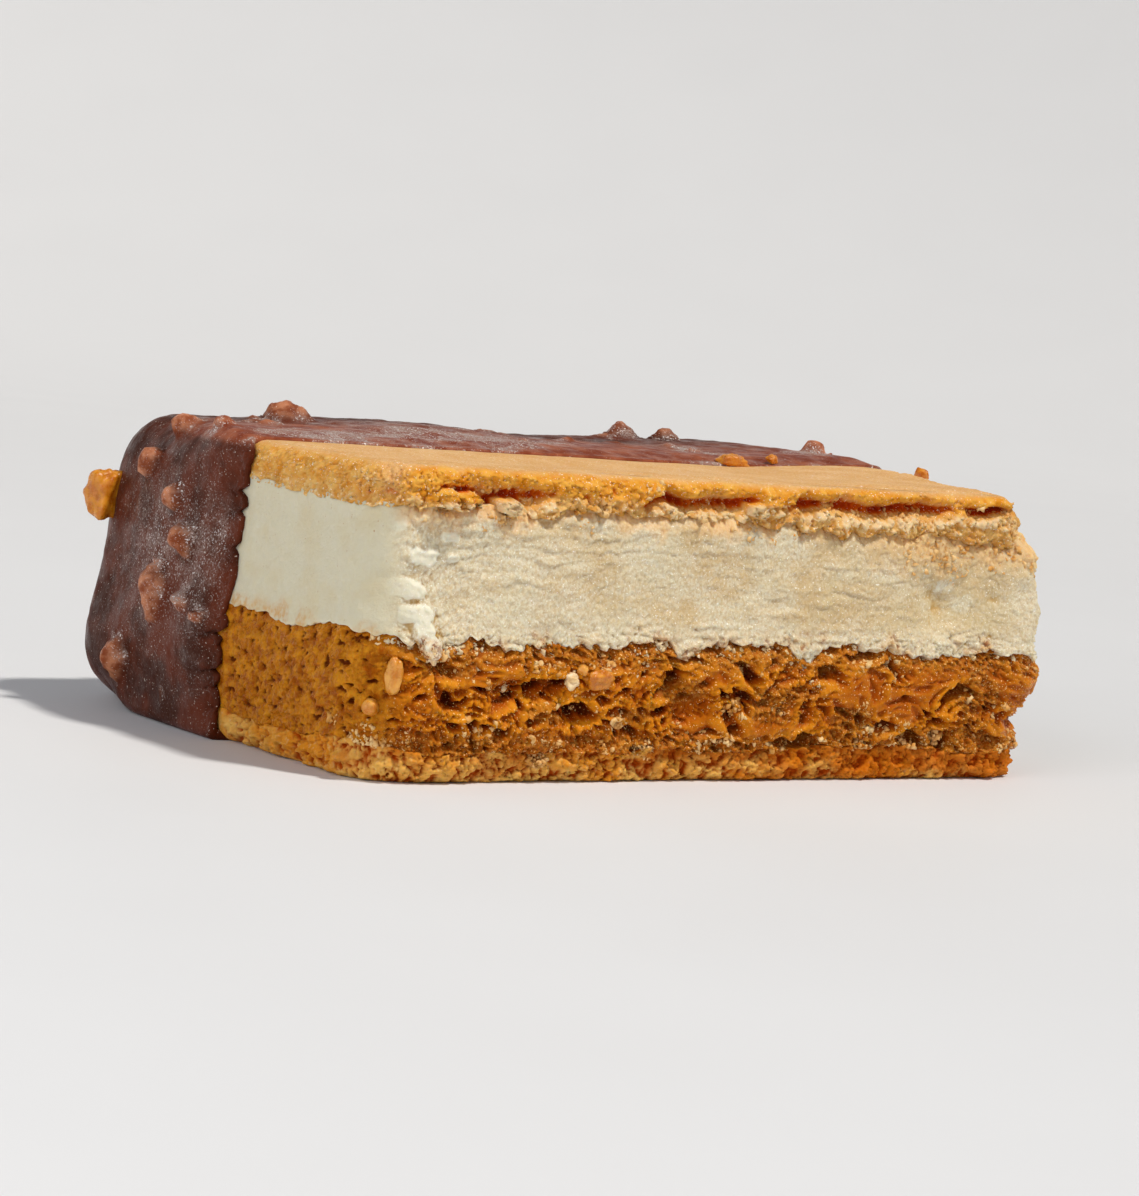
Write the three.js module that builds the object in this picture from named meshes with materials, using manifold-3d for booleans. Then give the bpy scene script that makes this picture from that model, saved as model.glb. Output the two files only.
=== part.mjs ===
// An ice cream sandwich: two thin biscuits round a layer of caramel ice cream and a layer of vanilla,
// with its back half dipped in chocolate that holds chopped nuts.
// Millimetres, +Z up. The origin is on the plate, under the middle of the sandwich. The bare long side
// faces -Y, and the dipped half lies towards +Y.
import * as THREE from "three";
import { mergeVertices } from "three/addons/utils/BufferGeometryUtils.js";
import Module from "manifold-3d";

const wasm = await Module();
wasm.setup();

// The whole sandwich, without its chocolate.
const LENGTH = 91;
const DEPTH = 65;
const HEIGHT = 33;
const CORNER_RADIUS = 7;
const MIDDLE_Y = -0.7; // the chocolate makes the back deeper, so the biscuits sit a little forward

// Heights of the three seams between the layers.
const CARAMEL_FROM = 3.6;
const VANILLA_FROM = 15.1;
const TOP_BISCUIT_FROM = 28.7;
const SEAM_GAP = 0.3;
const SEAM_WAVE = 0.7;

// Edges seen from the side: small on the bare half, rounder under the chocolate.
const TOP_EDGE_BARE = 1.8;
const TOP_EDGE_DIPPED = 4;
const BOTTOM_EDGE_BARE = 3;
const BOTTOM_EDGE_DIPPED = 5;

// The chocolate.
const DIP_Y = -3; // the sandwich was dipped up to this plane
const DIP_WAVE = 0.9;
const COAT = 1.4;
const COAT_UNDER = 1.2;
const COAT_CLEARANCE = 0.3;
const NUT_SIZE = 1.9;

// Steps between mesh columns round the sandwich.
const BARE_STEP = 2;
const DIPPED_STEP = 4.8;
const COAT_STEP = 3.5;
const CAP_INSET = 6; // where a layer's wavy edge has become a flat seam

// ---------- Noise and easing ----------

// A repeatable number between -1 and 1 for one lattice corner.
function cornerValue(i, j, k) {
  const wave = Math.sin(i * 127.1 + j * 311.7 + k * 74.7) * 43758.5453;
  return 2 * (wave - Math.floor(wave)) - 1;
}

// Smooth noise between -1 and 1 at a point: the eight corners of its cell, blended.
function noise(x, y, z) {
  const [i, j, k] = [Math.floor(x), Math.floor(y), Math.floor(z)];
  const [u, v, w] = [x - i, y - j, z - k].map((t) => t * t * (3 - 2 * t));
  const mix = THREE.MathUtils.lerp;
  const row = (dj, dk) => mix(cornerValue(i, j + dj, k + dk), cornerValue(i + 1, j + dj, k + dk), u);
  return mix(mix(row(0, 0), row(1, 0), v), mix(row(0, 1), row(1, 1), v), w);
}

const ease = (x, from, to) => THREE.MathUtils.smoothstep(x, from, to);
const hump = (x, middle, width) => Math.exp(-(((x - middle) / width) ** 2));

// ---------- Outline seen from above ----------

const HALF_LENGTH = LENGTH / 2;
const HALF_DEPTH = DEPTH / 2;
const FRONT_Y = MIDDLE_Y - HALF_DEPTH;
const BACK_Y = MIDDLE_Y + HALF_DEPTH;
const QUARTER = (Math.PI / 2) * CORNER_RADIUS;

// The rounded rectangle as straight and round runs, anticlockwise from the dip line on the left end.
const [LEFT_X, RIGHT_X] = [-HALF_LENGTH + CORNER_RADIUS, HALF_LENGTH - CORNER_RADIUS];
const [NEAR_Y, FAR_Y] = [FRONT_Y + CORNER_RADIUS, BACK_Y - CORNER_RADIUS];
const RUNS = [
  { length: DIP_Y - NEAR_Y, from: [-HALF_LENGTH, DIP_Y], facing: Math.PI },
  { length: QUARTER, centre: [LEFT_X, NEAR_Y], facing: Math.PI },
  { length: RIGHT_X - LEFT_X, from: [LEFT_X, FRONT_Y], facing: 1.5 * Math.PI },
  { length: QUARTER, centre: [RIGHT_X, NEAR_Y], facing: 1.5 * Math.PI },
  { length: FAR_Y - NEAR_Y, from: [HALF_LENGTH, NEAR_Y], facing: 0 },
  { length: QUARTER, centre: [RIGHT_X, FAR_Y], facing: 0 },
  { length: RIGHT_X - LEFT_X, from: [RIGHT_X, BACK_Y], facing: Math.PI / 2 },
  { length: QUARTER, centre: [LEFT_X, FAR_Y], facing: Math.PI / 2 },
  { length: FAR_Y - DIP_Y, from: [-HALF_LENGTH, FAR_Y], facing: Math.PI },
];
let around = 0;
for (const run of RUNS) {
  run.start = around;
  around += run.length;
}
const BARE_LENGTH = 2 * (DIP_Y - NEAR_Y) + 2 * QUARTER + RIGHT_X - LEFT_X;
const DIPPED_LENGTH = around - BARE_LENGTH;

// The point and outward direction at a distance along the outline.
function outlineAt(distance) {
  const run = RUNS.findLast(({ start }) => start <= distance);
  const along = distance - run.start;
  const angle = run.facing + (run.centre ? along / CORNER_RADIUS : 0);
  const [nx, ny] = [Math.cos(angle), Math.sin(angle)];
  if (!run.centre) return { x: run.from[0] - ny * along, y: run.from[1] + nx * along, nx, ny };
  const [x, y] = run.centre;
  return { x: x + CORNER_RADIUS * nx, y: y + CORNER_RADIUS * ny, nx, ny };
}

// Mesh columns: close together on the bare half, further apart under the chocolate.
function stations(bareStep, dippedStep) {
  const bare = Math.round(BARE_LENGTH / bareStep);
  const dipped = Math.round(DIPPED_LENGTH / dippedStep);
  const distances = [];
  for (let i = 0; i < bare; i++) distances.push((BARE_LENGTH * i) / bare);
  for (let i = 0; i < dipped; i++) distances.push(BARE_LENGTH + (DIPPED_LENGTH * i) / dipped);
  return distances.map(outlineAt);
}

// How far a side of the given height is drawn in at z, by its rounded bottom and top edges.
function roundedIn(z, height, bottomRadius, topRadius) {
  const below = THREE.MathUtils.clamp(bottomRadius - z, 0, bottomRadius);
  const above = THREE.MathUtils.clamp(z - height + topRadius, 0, topRadius);
  const arc = (radius, past) => radius - Math.sqrt(radius ** 2 - past ** 2);
  return arc(bottomRadius, below) + arc(topRadius, above);
}

// Heights that follow such a side, with four steps round each edge.
function sideLevels(height, bottomRadius, topRadius, between) {
  const turns = [0, 0.25, 0.5, 0.75, 1].map((share) => (share * Math.PI) / 2);
  const bottom = turns.map((angle) => bottomRadius * (1 - Math.cos(angle)));
  const top = turns.map((angle) => height - topRadius * (1 - Math.sin(angle)));
  return [...bottom, ...between, ...top];
}

// The same for the sandwich itself, whose edges grow rounder towards the chocolate.
function edgeInset(y, z) {
  const dipped = ease(y, -14, 8);
  const bottom = THREE.MathUtils.lerp(BOTTOM_EDGE_BARE, BOTTOM_EDGE_DIPPED, dipped);
  const top = THREE.MathUtils.lerp(TOP_EDGE_BARE, TOP_EDGE_DIPPED, dipped);
  return roundedIn(z, HEIGHT, bottom, top);
}

// The ice cream swells past the biscuits, most low down.
const swell = (z) => 0.9 * hump(z, 11, 6) - 0.5 * hump(z, 27, 5);

// ---------- Relief of the bare sides ----------

// 1 on the bare half, easing to 0 just before the chocolate.
const bareShare = (y) => 1 - ease(y, DIP_Y - 5, DIP_Y - 1);

// 1 on the long side, where the filling is torn, and little on the two ends, where it is smooth.
function tornShare(x, y) {
  const pastLeftEnd = ease(x, -HALF_LENGTH + 1.5, -HALF_LENGTH + 5);
  return Math.max(0.15, pastLeftEnd * (1 - ease(y, NEAR_Y - 3, NEAR_Y + 3)));
}

// Air pockets that the tear has opened, with their depth and half widths.
const POCKETS = [
  { x: -28, z: 9.9, wide: 3.2, high: 1.4, depth: 1.6 },
  { x: -20.5, z: 7.3, wide: 1.3, high: 1.2, depth: 1.4 },
  { x: -5.6, z: 8, wide: 3.4, high: 2.3, depth: 1.7 },
];

// Torn filling: long wavy ledges over hollows, and the air pockets.
function caramelRelief(x, y, z) {
  const tilt = z + 0.9 * noise(x / 9, y / 9, 3);
  const ledges = 1 - Math.abs(noise(x / 8, y / 8 + 7, tilt / 2.6)) * 3.2;
  const hollow = -1.6 * Math.max(0, noise(x / 7, y / 7, z / 4 + 20) - 0.15);
  const pocketed = (sum, p) => sum - p.depth * hump(x, p.x, p.wide) * hump(z, p.z, p.high);
  return tornShare(x, y) * POCKETS.reduce(pocketed, 0.8 * ledges + hollow - 0.5) - 0.2;
}

// Grainy filling: shallow bulges, and flakes standing up where the smooth end breaks into the torn side.
function vanillaRelief(x, y, z) {
  const bulge = 0.6 * noise(x / 12, y / 12, z / 7 + 5);
  const grain = 0.35 * noise(x / 3.5, y / 3.5, z / 2.2 + 9);
  const flakes = 0.9 * hump(x, -HALF_LENGTH + 3, 1.6) * ease(noise(x, y, z / 1.8), -0.1, 0.4);
  const dimple = -1.6 * hump(x, 30, 3) * hump(z, 20, 2.5);
  return tornShare(x, y) * (bulge + grain + flakes + dimple);
}

// Baked crust split from the crumb under it by a long dark crack.
function topBiscuitRelief(x, y, z) {
  const crackHeight = TOP_BISCUIT_FROM + 2 + 0.35 * noise(x / 10, y / 10, 1);
  const crack = -2.6 * hump(z, crackHeight, 0.55) * ease(noise(x / 14, y / 14, 31), -0.45, -0.1);
  const crumb = 0.5 * noise(x / 2.6, y / 2.6, z / 1.4) * ease(HEIGHT - z, 0.8, 1.8);
  return tornShare(x, y) * (crack + 0.3) + crumb;
}

// Crumbly rim, smaller than the ice cream that stands on it.
function bottomBiscuitRelief(x, y, z) {
  const crumb = 0.8 * noise(x / 5, y / 5, z / 2) + 0.4 * noise(x / 1.9, y / 1.9, z);
  return ease(z, 0, 0.8) * (crumb - 0.9);
}

// ---------- Building closed solids ----------

function solidFromArrays(positions, faces) {
  const [vertProperties, triVerts] = [new Float32Array(positions), new Uint32Array(faces)];
  return new wasm.Manifold(new wasm.Mesh({ numProp: 3, vertProperties, triVerts }));
}

// Joins rings of equal count from the bottom up, and closes both ends with a fan to a middle point.
function solidFromRings(rings) {
  const count = rings[0].length;
  const positions = rings.flat().flatMap((p) => [p.x, p.y, p.z]);
  const middles = [rings[0], rings[rings.length - 1]].map((ring) =>
    ring.reduce((sum, p) => sum.add(p), new THREE.Vector3()).divideScalar(count),
  );
  for (const p of middles) positions.push(p.x, p.y, p.z);
  const bottomMiddle = rings.length * count;
  const faces = [];
  for (let i = 0; i < count; i++) {
    const next = (i + 1) % count;
    faces.push(bottomMiddle, next, i);
    for (let k = 0; k + 1 < rings.length; k++) {
      const [low, high] = [k * count, (k + 1) * count];
      faces.push(low + i, low + next, high + next, low + i, high + next, high + i);
    }
    const last = (rings.length - 1) * count;
    faces.push(last + i, last + next, bottomMiddle + 1);
  }
  return solidFromArrays(positions, faces);
}

// A closed three.js geometry as a solid that can be joined and cut.
function solidFromGeometry(geometry) {
  const bare = geometry.clone();
  bare.deleteAttribute("normal");
  bare.deleteAttribute("uv");
  const merged = mergeVertices(bare, 1e-4);
  return solidFromArrays(merged.attributes.position.array, merged.index.array);
}

function geometryFromSolid(solid) {
  const { vertProperties, triVerts, numProp } = solid.getMesh();
  const geometry = new THREE.BufferGeometry();
  const data = new THREE.InterleavedBuffer(vertProperties, numProp);
  geometry.setAttribute("position", new THREE.InterleavedBufferAttribute(data, 3, 0));
  geometry.setIndex(new THREE.BufferAttribute(triVerts, 1));
  return geometry;
}

const ringAt = (places, z, inset) =>
  places.map((p) => new THREE.Vector3(p.x - p.nx * inset(p), p.y - p.ny * inset(p), z(p)));

// Height of a seam above its level, at the edge: gentle waves that the layers on both sides of it share.
function seamWave(x, y, level) {
  const wave = noise(x / 9, y / 9, level) + 0.4 * noise(x / 3, y / 3, level);
  return SEAM_WAVE * wave * bareShare(y);
}

// One layer: a flat middle, a wavy seam at its edge, and a side wall with its own relief.
// A flat underside or top takes no wave, and cap holds the rings that follow the wall's last one.
function layerSolid({ from, to, rows, relief, flatFrom = false, flatTo = false, cap }) {
  const places = stations(BARE_STEP, DIPPED_STEP);
  const low = (p) => from + (flatFrom ? 0 : seamWave(p.x, p.y, from));
  const high = (p) => to - (flatTo ? 0 : SEAM_GAP - seamWave(p.x, p.y, to));
  const rings = [ringAt(places, () => from, () => CAP_INSET)];
  for (let row = 0; row <= rows; row++) {
    const height = (p) => THREE.MathUtils.lerp(low(p), high(p), row / rows);
    const inset = (p) => {
      const z = height(p);
      return edgeInset(p.y, z) - swell(z) - relief(p.x, p.y, z) * bareShare(p.y);
    };
    rings.push(ringAt(places, height, inset));
  }
  const lastCap = { inset: CAP_INSET, height: () => to - (flatTo ? 0 : SEAM_GAP) };
  for (const { inset, height } of cap ?? [lastCap]) rings.push(ringAt(places, height, () => inset));
  return solidFromRings(rings);
}

// ---------- The chocolate's own shapes ----------

// Everything behind the wavy dip line, moved by an offset, through the given heights.
function behindDipLine(offset, heights) {
  const columns = 34;
  const [halfWidth, backY] = [HALF_LENGTH + 8, BACK_Y + 12];
  const rings = heights.map((z) => {
    const ring = [];
    for (let i = 0; i <= columns; i++) {
      const x = THREE.MathUtils.lerp(-halfWidth, halfWidth, i / columns);
      const wave = noise(x / 7, z / 7, 40) + 0.4 * noise(x / 2.5, z / 2.5, 50);
      ring.push(new THREE.Vector3(x, DIP_Y + offset + DIP_WAVE * wave, z));
    }
    ring.push(new THREE.Vector3(halfWidth, backY, z), new THREE.Vector3(-halfWidth, backY, z));
    return ring;
  });
  return solidFromRings(rings);
}

// The sandwich's own body grown by the clearance, which the chocolate is hollowed to.
function innerBody() {
  const bodyFrom = COAT_UNDER + COAT_CLEARANCE;
  const places = stations(3 * COAT_STEP, COAT_STEP);
  const levels = sideLevels(HEIGHT, BOTTOM_EDGE_DIPPED, TOP_EDGE_DIPPED, [9, 13, 18, 23.5]);
  const rings = [bodyFrom, ...levels.filter((z) => z > bodyFrom)].map((bodyZ) => {
    const z = THREE.MathUtils.mapLinear(bodyZ, bodyFrom, HEIGHT, COAT_UNDER, HEIGHT + COAT_CLEARANCE);
    return ringAt(places, () => z, (p) => edgeInset(p.y, bodyZ) - swell(bodyZ) - COAT_CLEARANCE);
  });
  return solidFromRings(rings);
}

// The outside of the chocolate, with soft waves and a flat base.
function outerBody() {
  const [bottomRadius, topRadius] = [BOTTOM_EDGE_DIPPED, TOP_EDGE_DIPPED + 1];
  const height = HEIGHT + COAT;
  const places = stations(3 * COAT_STEP, COAT_STEP);
  const rings = sideLevels(height, bottomRadius, topRadius, [9, 13, 17, 21, 25]).map((z) => {
    const inset = roundedIn(z, height, bottomRadius, topRadius) - COAT - swell(z);
    const wave = (p) => 0.35 * noise(p.x / 8, p.y / 8, z / 8) * ease(z, 0, bottomRadius);
    return ringAt(places, () => z, (p) => inset + wave(p));
  });
  for (const share of [0.8, 0.6, 0.35]) {
    const [x, y] = [(p) => p.x * share, (p) => THREE.MathUtils.lerp(MIDDLE_Y, p.y, share)];
    const rise = (p) => 0.45 * noise(x(p) / 8, y(p) / 8, 60) - 0.1;
    rings.push(places.map((p) => new THREE.Vector3(x(p), y(p), height + rise(p))));
  }
  return solidFromRings(rings);
}

// ---------- Nuts ----------

const [END_X, TOP_Z] = [HALF_LENGTH + COAT, HEIGHT + COAT];

// Pieces that stand out most, each with its place and its size against the usual one.
const PLACED_NUTS = [
  { at: [-END_X, 6.6, 21.1], size: [0.5, 0.9, 1.1] },
  { at: [-END_X, 12, 15], size: [0.45, 0.7, 1.7] },
  { at: [-END_X, 4.6, 15], size: [0.5, 0.6, 0.6] },
  { at: [-END_X, 20, 7], size: [0.45, 1.1, 1.3] },
  { at: [-END_X, 9.1, 27.9], size: [0.45, 0.8, 1] },
  { at: [-END_X + 0.8, 17.9, 29], size: [0.5, 0.6, 1.1] },
  { at: [-END_X + 1.5, 27.6, 24], size: [1.1, 0.9, 1.9] },
  { at: [-END_X + 0.6, 9.5, 3.2], size: [0.4, 0.6, 0.8] },
  { at: [-28, 20, TOP_Z], size: [1.7, 1.3, 0.85] },
  { at: [23, 24, TOP_Z - 0.1], size: [0.9, 1, 1.2] },
  { at: [34, 25.5, TOP_Z - 0.6], size: [0.9, 0.9, 1.1] },
  { at: [40, 12, TOP_Z - 0.5], size: [0.9, 0.8, 1.1] },
];

// The rest, spread over a face: each one lies two irrational shares of the face past the one before,
// moved a little by chance.
function spreadNuts(count, place) {
  const [shareAcross, shareUp, shareOfSize, jitter] = [0.7548777, 0.5698403, 0.618034, 0.08];
  const nuts = [];
  for (let i = 1; i <= count; i++) {
    const across = ((i * shareAcross) % 1) + jitter * cornerValue(i, count, 1);
    const up = ((i * shareUp) % 1) + jitter * cornerValue(i, count, 2);
    const larger = (i * shareOfSize) % 1;
    nuts.push(place(2 * across - 1, up, 0.7 + 0.6 * larger, 1.2 - 0.5 * larger));
  }
  return nuts;
}

const onTop = (u, v, long, short) => ({ at: [36 * u, 3.5 + 21 * v, TOP_Z], size: [long, short, 0.55] });
const onBack = (u, v, long, short) => ({ at: [36 * u, BACK_Y + COAT, 6.5 + 20 * v], size: [long, 0.5, short] });
const onRight = (u, v, long, short) => ({ at: [END_X, 13 + 9 * u, 6.5 + 20 * v], size: [0.5, long, short] });

function nutSolid({ at, size }, index) {
  const geometry = new THREE.IcosahedronGeometry(NUT_SIZE, 0);
  geometry.rotateX(index * 1.3);
  geometry.rotateY(index * 2.1);
  geometry.scale(...size);
  geometry.translate(...at);
  return solidFromGeometry(geometry);
}

// ---------- The finished pieces ----------

const UNDER_HEIGHTS = [-2, COAT_UNDER + COAT_CLEARANCE];
const underneath = behindDipLine(-COAT_CLEARANCE, UNDER_HEIGHTS);

function bottomBiscuit() {
  const relief = bottomBiscuitRelief;
  const whole = layerSolid({ from: 0, to: CARAMEL_FROM, rows: 4, relief, flatFrom: true });
  return whole.subtract(underneath);
}

function caramel() {
  return layerSolid({ from: CARAMEL_FROM, to: VANILLA_FROM, rows: 9, relief: caramelRelief });
}

function vanilla() {
  return layerSolid({ from: VANILLA_FROM, to: TOP_BISCUIT_FROM, rows: 7, relief: vanillaRelief });
}

// The top of the biscuit is softly pillowed where it is bare.
function topBiscuit() {
  const pillow = (inset) => (p) => HEIGHT + 0.3 * bareShare(p.y) * noise(p.x / 14, p.y / 9, 70 + inset);
  const cap = [CAP_INSET - 1.4, CAP_INSET].map((inset) => ({ inset, height: pillow(inset) }));
  const relief = topBiscuitRelief;
  return layerSolid({ from: TOP_BISCUIT_FROM, to: HEIGHT, rows: 6, relief, flatTo: true, cap });
}

function chocolate() {
  const scattered = [...spreadNuts(15, onTop), ...spreadNuts(14, onBack), ...spreadNuts(7, onRight)];
  const nuts = [...PLACED_NUTS, ...scattered].map(nutSolid);
  const outside = nuts.reduce((joined, nut) => joined.add(nut), outerBody());
  const upwards = [4, 7, 10, 13, 16, 19, 22, 25, 28, 31, HEIGHT + 1, HEIGHT + 8];
  return outside.intersect(behindDipLine(0, [...UNDER_HEIGHTS, ...upwards])).subtract(innerBody());
}

const PIECES = [
  { name: "bottom_biscuit", solid: bottomBiscuit(), color: "#c08a45", roughness: 0.9 },
  { name: "caramel_ice_cream", solid: caramel(), color: "#b8742c", roughness: 0.45 },
  { name: "vanilla_ice_cream", solid: vanilla(), color: "#ece0bd", roughness: 0.6 },
  { name: "top_biscuit", solid: topBiscuit(), color: "#dba055", roughness: 0.8 },
  { name: "chocolate_coating", solid: chocolate(), color: "#5a3226", roughness: 0.5 },
];

const sandwich = new THREE.Group();
for (const { name, solid, color, roughness } of PIECES) {
  const material = new THREE.MeshStandardMaterial({ color, roughness, metalness: 0 });
  const mesh = new THREE.Mesh(geometryFromSolid(solid), material);
  mesh.name = name;
  sandwich.add(mesh);
}

export default sandwich;
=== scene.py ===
"""An ice cream sandwich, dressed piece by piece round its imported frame.

Shapes are worked out in millimetres, as whole arrays, and turned to metres as each mesh is filled.
"""
import math

import bpy
import numpy as np
from mathutils import Matrix, Vector


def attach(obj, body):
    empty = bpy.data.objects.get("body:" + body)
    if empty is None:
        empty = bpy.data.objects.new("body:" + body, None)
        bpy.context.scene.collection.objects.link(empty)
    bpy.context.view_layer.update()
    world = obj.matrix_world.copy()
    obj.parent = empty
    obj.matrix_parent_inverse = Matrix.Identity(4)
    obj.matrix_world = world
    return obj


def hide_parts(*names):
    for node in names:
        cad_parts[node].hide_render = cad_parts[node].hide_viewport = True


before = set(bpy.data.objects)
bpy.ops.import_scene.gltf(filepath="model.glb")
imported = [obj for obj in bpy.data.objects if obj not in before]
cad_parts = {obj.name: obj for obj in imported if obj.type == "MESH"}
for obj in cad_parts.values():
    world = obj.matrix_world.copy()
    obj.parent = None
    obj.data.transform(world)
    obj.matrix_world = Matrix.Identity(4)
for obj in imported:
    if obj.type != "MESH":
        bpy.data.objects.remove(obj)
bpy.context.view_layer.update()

# ====================================================================================================
# Bottom biscuit
# The thin baked biscuit that the sandwich stands on. Its rim is crumb, brown-gold with paler grains,
# and stands a little inside the ice cream, which has been pressed out over it.
# ====================================================================================================

MM = 0.001
LENGTH, DEPTH, HEIGHT = 91, 65, 33
CORNER_RADIUS = 7
MIDDLE_Y = -0.7
DIP_Y = -3
CARAMEL_FROM, VANILLA_FROM, TOP_BISCUIT_FROM = 3.6, 15.1, 28.7

HALF_LENGTH = LENGTH / 2
FRONT_Y, BACK_Y = MIDDLE_Y - DEPTH / 2, MIDDLE_Y + DEPTH / 2
NEAR_Y, FAR_Y = FRONT_Y + CORNER_RADIUS, BACK_Y - CORNER_RADIUS
END_X = HALF_LENGTH - CORNER_RADIUS
SPINE = (LENGTH - DEPTH) / 2
QUARTER = math.pi / 2 * CORNER_RADIUS


def corner_value(i, j, k):
    """2 * fract(43758.5453 * sin(127.1 i + 311.7 j + 74.7 k)) - 1, a fixed number for a lattice corner."""
    wave = np.sin(i * 127.1 + j * 311.7 + k * 74.7) * 43758.5453
    return 2 * (wave - np.floor(wave)) - 1


def noise(x, y, z):
    """Smooth noise from -1 to 1: the corner values of a point's cell, blended by 3u² - 2u³ each way."""
    x, y, z = np.broadcast_arrays(x, y, z)
    i, j, k = np.floor(x), np.floor(y), np.floor(z)
    u, v, w = ((3 - 2 * part) * part**2 for part in (x - i, y - j, z - k))
    total = 0
    for di, share_u in ((0, 1 - u), (1, u)):
        for dj, share_v in ((0, 1 - v), (1, v)):
            for dk, share_w in ((0, 1 - w), (1, w)):
                total = total + corner_value(i + di, j + dj, k + dk) * share_u * share_v * share_w
    return total


def layered(x, y, z, octaves, fade=0.5):
    """Sum of fade^n * noise(p + n (17.3, -9.1, 5.7)) over the octaves. From one to the next p grows 2.03
    times and is turned about y, so that no grid shows."""
    total, strength = 0, 1
    for n in range(octaves):
        total = total + strength * noise(x + 17.3 * n, y - 9.1 * n, z + 5.7 * n)
        x, y, z = 2.03 * (0.8 * x - 0.6 * z), 2.03 * y, 2.03 * (0.6 * x + 0.8 * z)
        strength = strength * fade
    return total


def lips(x, y, z, spacing, length, seed):
    """Overhanging lips one above the other. Along t = z / spacing each step rises over its lowest quarter and
    falls away above, times a strength of max(0, 0.4 + noise(p / length)) that each step has to itself."""
    t = z / spacing
    step = np.floor(t)
    part = t - step
    strength = np.maximum(0, 0.4 + noise(x / length, y / length, 7.3 * step + seed))
    return strength * ease(part, 0, 0.26) * (1 - ease(part, 0.15, 1))


def cells(x, y, z):
    """For scattered centres, one to a unit cell and up to 0.42 off its middle each way: the distance to the
    nearest, how much farther off the second is, the height over the nearest, and a fixed number from -1 to 1
    for it."""
    scatter = 0.42
    i, j, k = np.floor(x), np.floor(y), np.floor(z)
    nearest, second, over, chance = (np.full(np.shape(i + j + k), fill) for fill in (9.0, 9.0, 0.0, 0.0))
    for step in np.ndindex(3, 3, 3):
        a, b, c = i + step[0] - 1, j + step[1] - 1, k + step[2] - 1
        dx = x - a - 0.5 - scatter * corner_value(a, b, c)
        dy = y - b - 0.5 - scatter * corner_value(b, c, a + 7)
        dz = z - c - 0.5 - scatter * corner_value(c, a, b + 13)
        distance = np.sqrt(dx**2 + dy**2 + dz**2)
        closer = distance < nearest
        second = np.where(closer, nearest, np.minimum(second, distance))
        over = np.where(closer, dz, over)
        chance = np.where(closer, corner_value(a + 3, b + 5, c + 11), chance)
        nearest = np.minimum(nearest, distance)
    return nearest, second - nearest, over, chance


def ease(x, low, high):
    """3t² - 2t³ for t = (x - low) / (high - low) held from 0 to 1."""
    t = np.clip((x - low) / (high - low), 0, 1)
    return t * t * (3 - 2 * t)


def hump(x, middle, width):
    """exp(-((x - middle) / width)²)."""
    return np.exp(-(((x - middle) / width) ** 2))


def spots(a, b, places):
    """Sum of strength * exp(-((a - middle) / wide)² - ((b - level) / high)²) over the places."""
    total = 0
    for middle, level, wide, high, strength in places:
        total = total + strength * hump(a, middle, wide) * hump(b, level, high)
    return total


RUNS = [  # length, x and y of its start or of its centre, facing, round?
    (DIP_Y - NEAR_Y, -HALF_LENGTH, DIP_Y, math.pi, False),
    (QUARTER, -END_X, NEAR_Y, math.pi, True),
    (2 * END_X, -END_X, FRONT_Y, 1.5 * math.pi, False),
    (QUARTER, END_X, NEAR_Y, 1.5 * math.pi, True),
    (FAR_Y - NEAR_Y, HALF_LENGTH, NEAR_Y, 0, False),
    (QUARTER, END_X, FAR_Y, 0, True),
    (2 * END_X, END_X, BACK_Y, math.pi / 2, False),
    (QUARTER, -END_X, FAR_Y, math.pi / 2, True),
    (FAR_Y - DIP_Y, -HALF_LENGTH, FAR_Y, math.pi, False),
]
RUN_LENGTH, RUN_X, RUN_Y, RUN_FACING, RUN_ROUND = (np.array(column) for column in zip(*RUNS))
RUN_START = np.cumsum(RUN_LENGTH) - RUN_LENGTH
AROUND = RUN_LENGTH.sum()
BARE_LENGTH = 2 * (DIP_Y - NEAR_Y) + 2 * QUARTER + 2 * END_X


def outline(distance):
    """Point and outward direction at a distance round the rounded rectangle, from the dip line on the left.
    On a straight run p = start + distance * (-ny, nx), and on a round one p = centre + radius * (nx, ny)."""
    run = np.searchsorted(RUN_START, distance, side="right") - 1
    along = distance - RUN_START[run]
    angle = RUN_FACING[run] + np.where(RUN_ROUND[run], along / CORNER_RADIUS, 0)
    nx, ny = np.cos(angle), np.sin(angle)
    x = RUN_X[run] + np.where(RUN_ROUND[run], CORNER_RADIUS * nx, -along * ny)
    y = RUN_Y[run] + np.where(RUN_ROUND[run], CORNER_RADIUS * ny, along * nx)
    return x, y, nx, ny


def arc_inset(past, radius):
    """radius - sqrt(radius² - past²): how far a rounded edge is drawn in, that far past where it begins."""
    return radius - np.sqrt(radius**2 - np.clip(past, 0, radius) ** 2)


def edge_inset(y, z):
    """Rounding of the bottom and top edges, small on the bare half and larger under the chocolate."""
    dipped, hidden = ease(y, -2, 8), 4.5 * ease(y, 2, 14)
    bottom, top = 1.6 + 3.4 * dipped + hidden, 2.8 + 1.2 * dipped + hidden
    return arc_inset(bottom - z, bottom) + arc_inset(z - HEIGHT + top, top)


def swell(z):
    """0.9 hump(z, 11, 6) - 0.5 hump(z, 27, 5): the filling stands out low down and draws in higher up."""
    return 0.9 * hump(z, 11, 6) - 0.5 * hump(z, 27, 5)


def bare_share(y):
    """1 on the bare half, easing to 0 just before the chocolate."""
    return 1 - ease(y, DIP_Y - 3, DIP_Y - 0.5)


def torn_share(x, y):
    """1 on the torn long side, 0 on the two smooth ends."""
    return ease(x, -HALF_LENGTH + 1.5, -HALF_LENGTH + 5) * (1 - ease(y, NEAR_Y - 3, NEAR_Y + 3))


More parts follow.
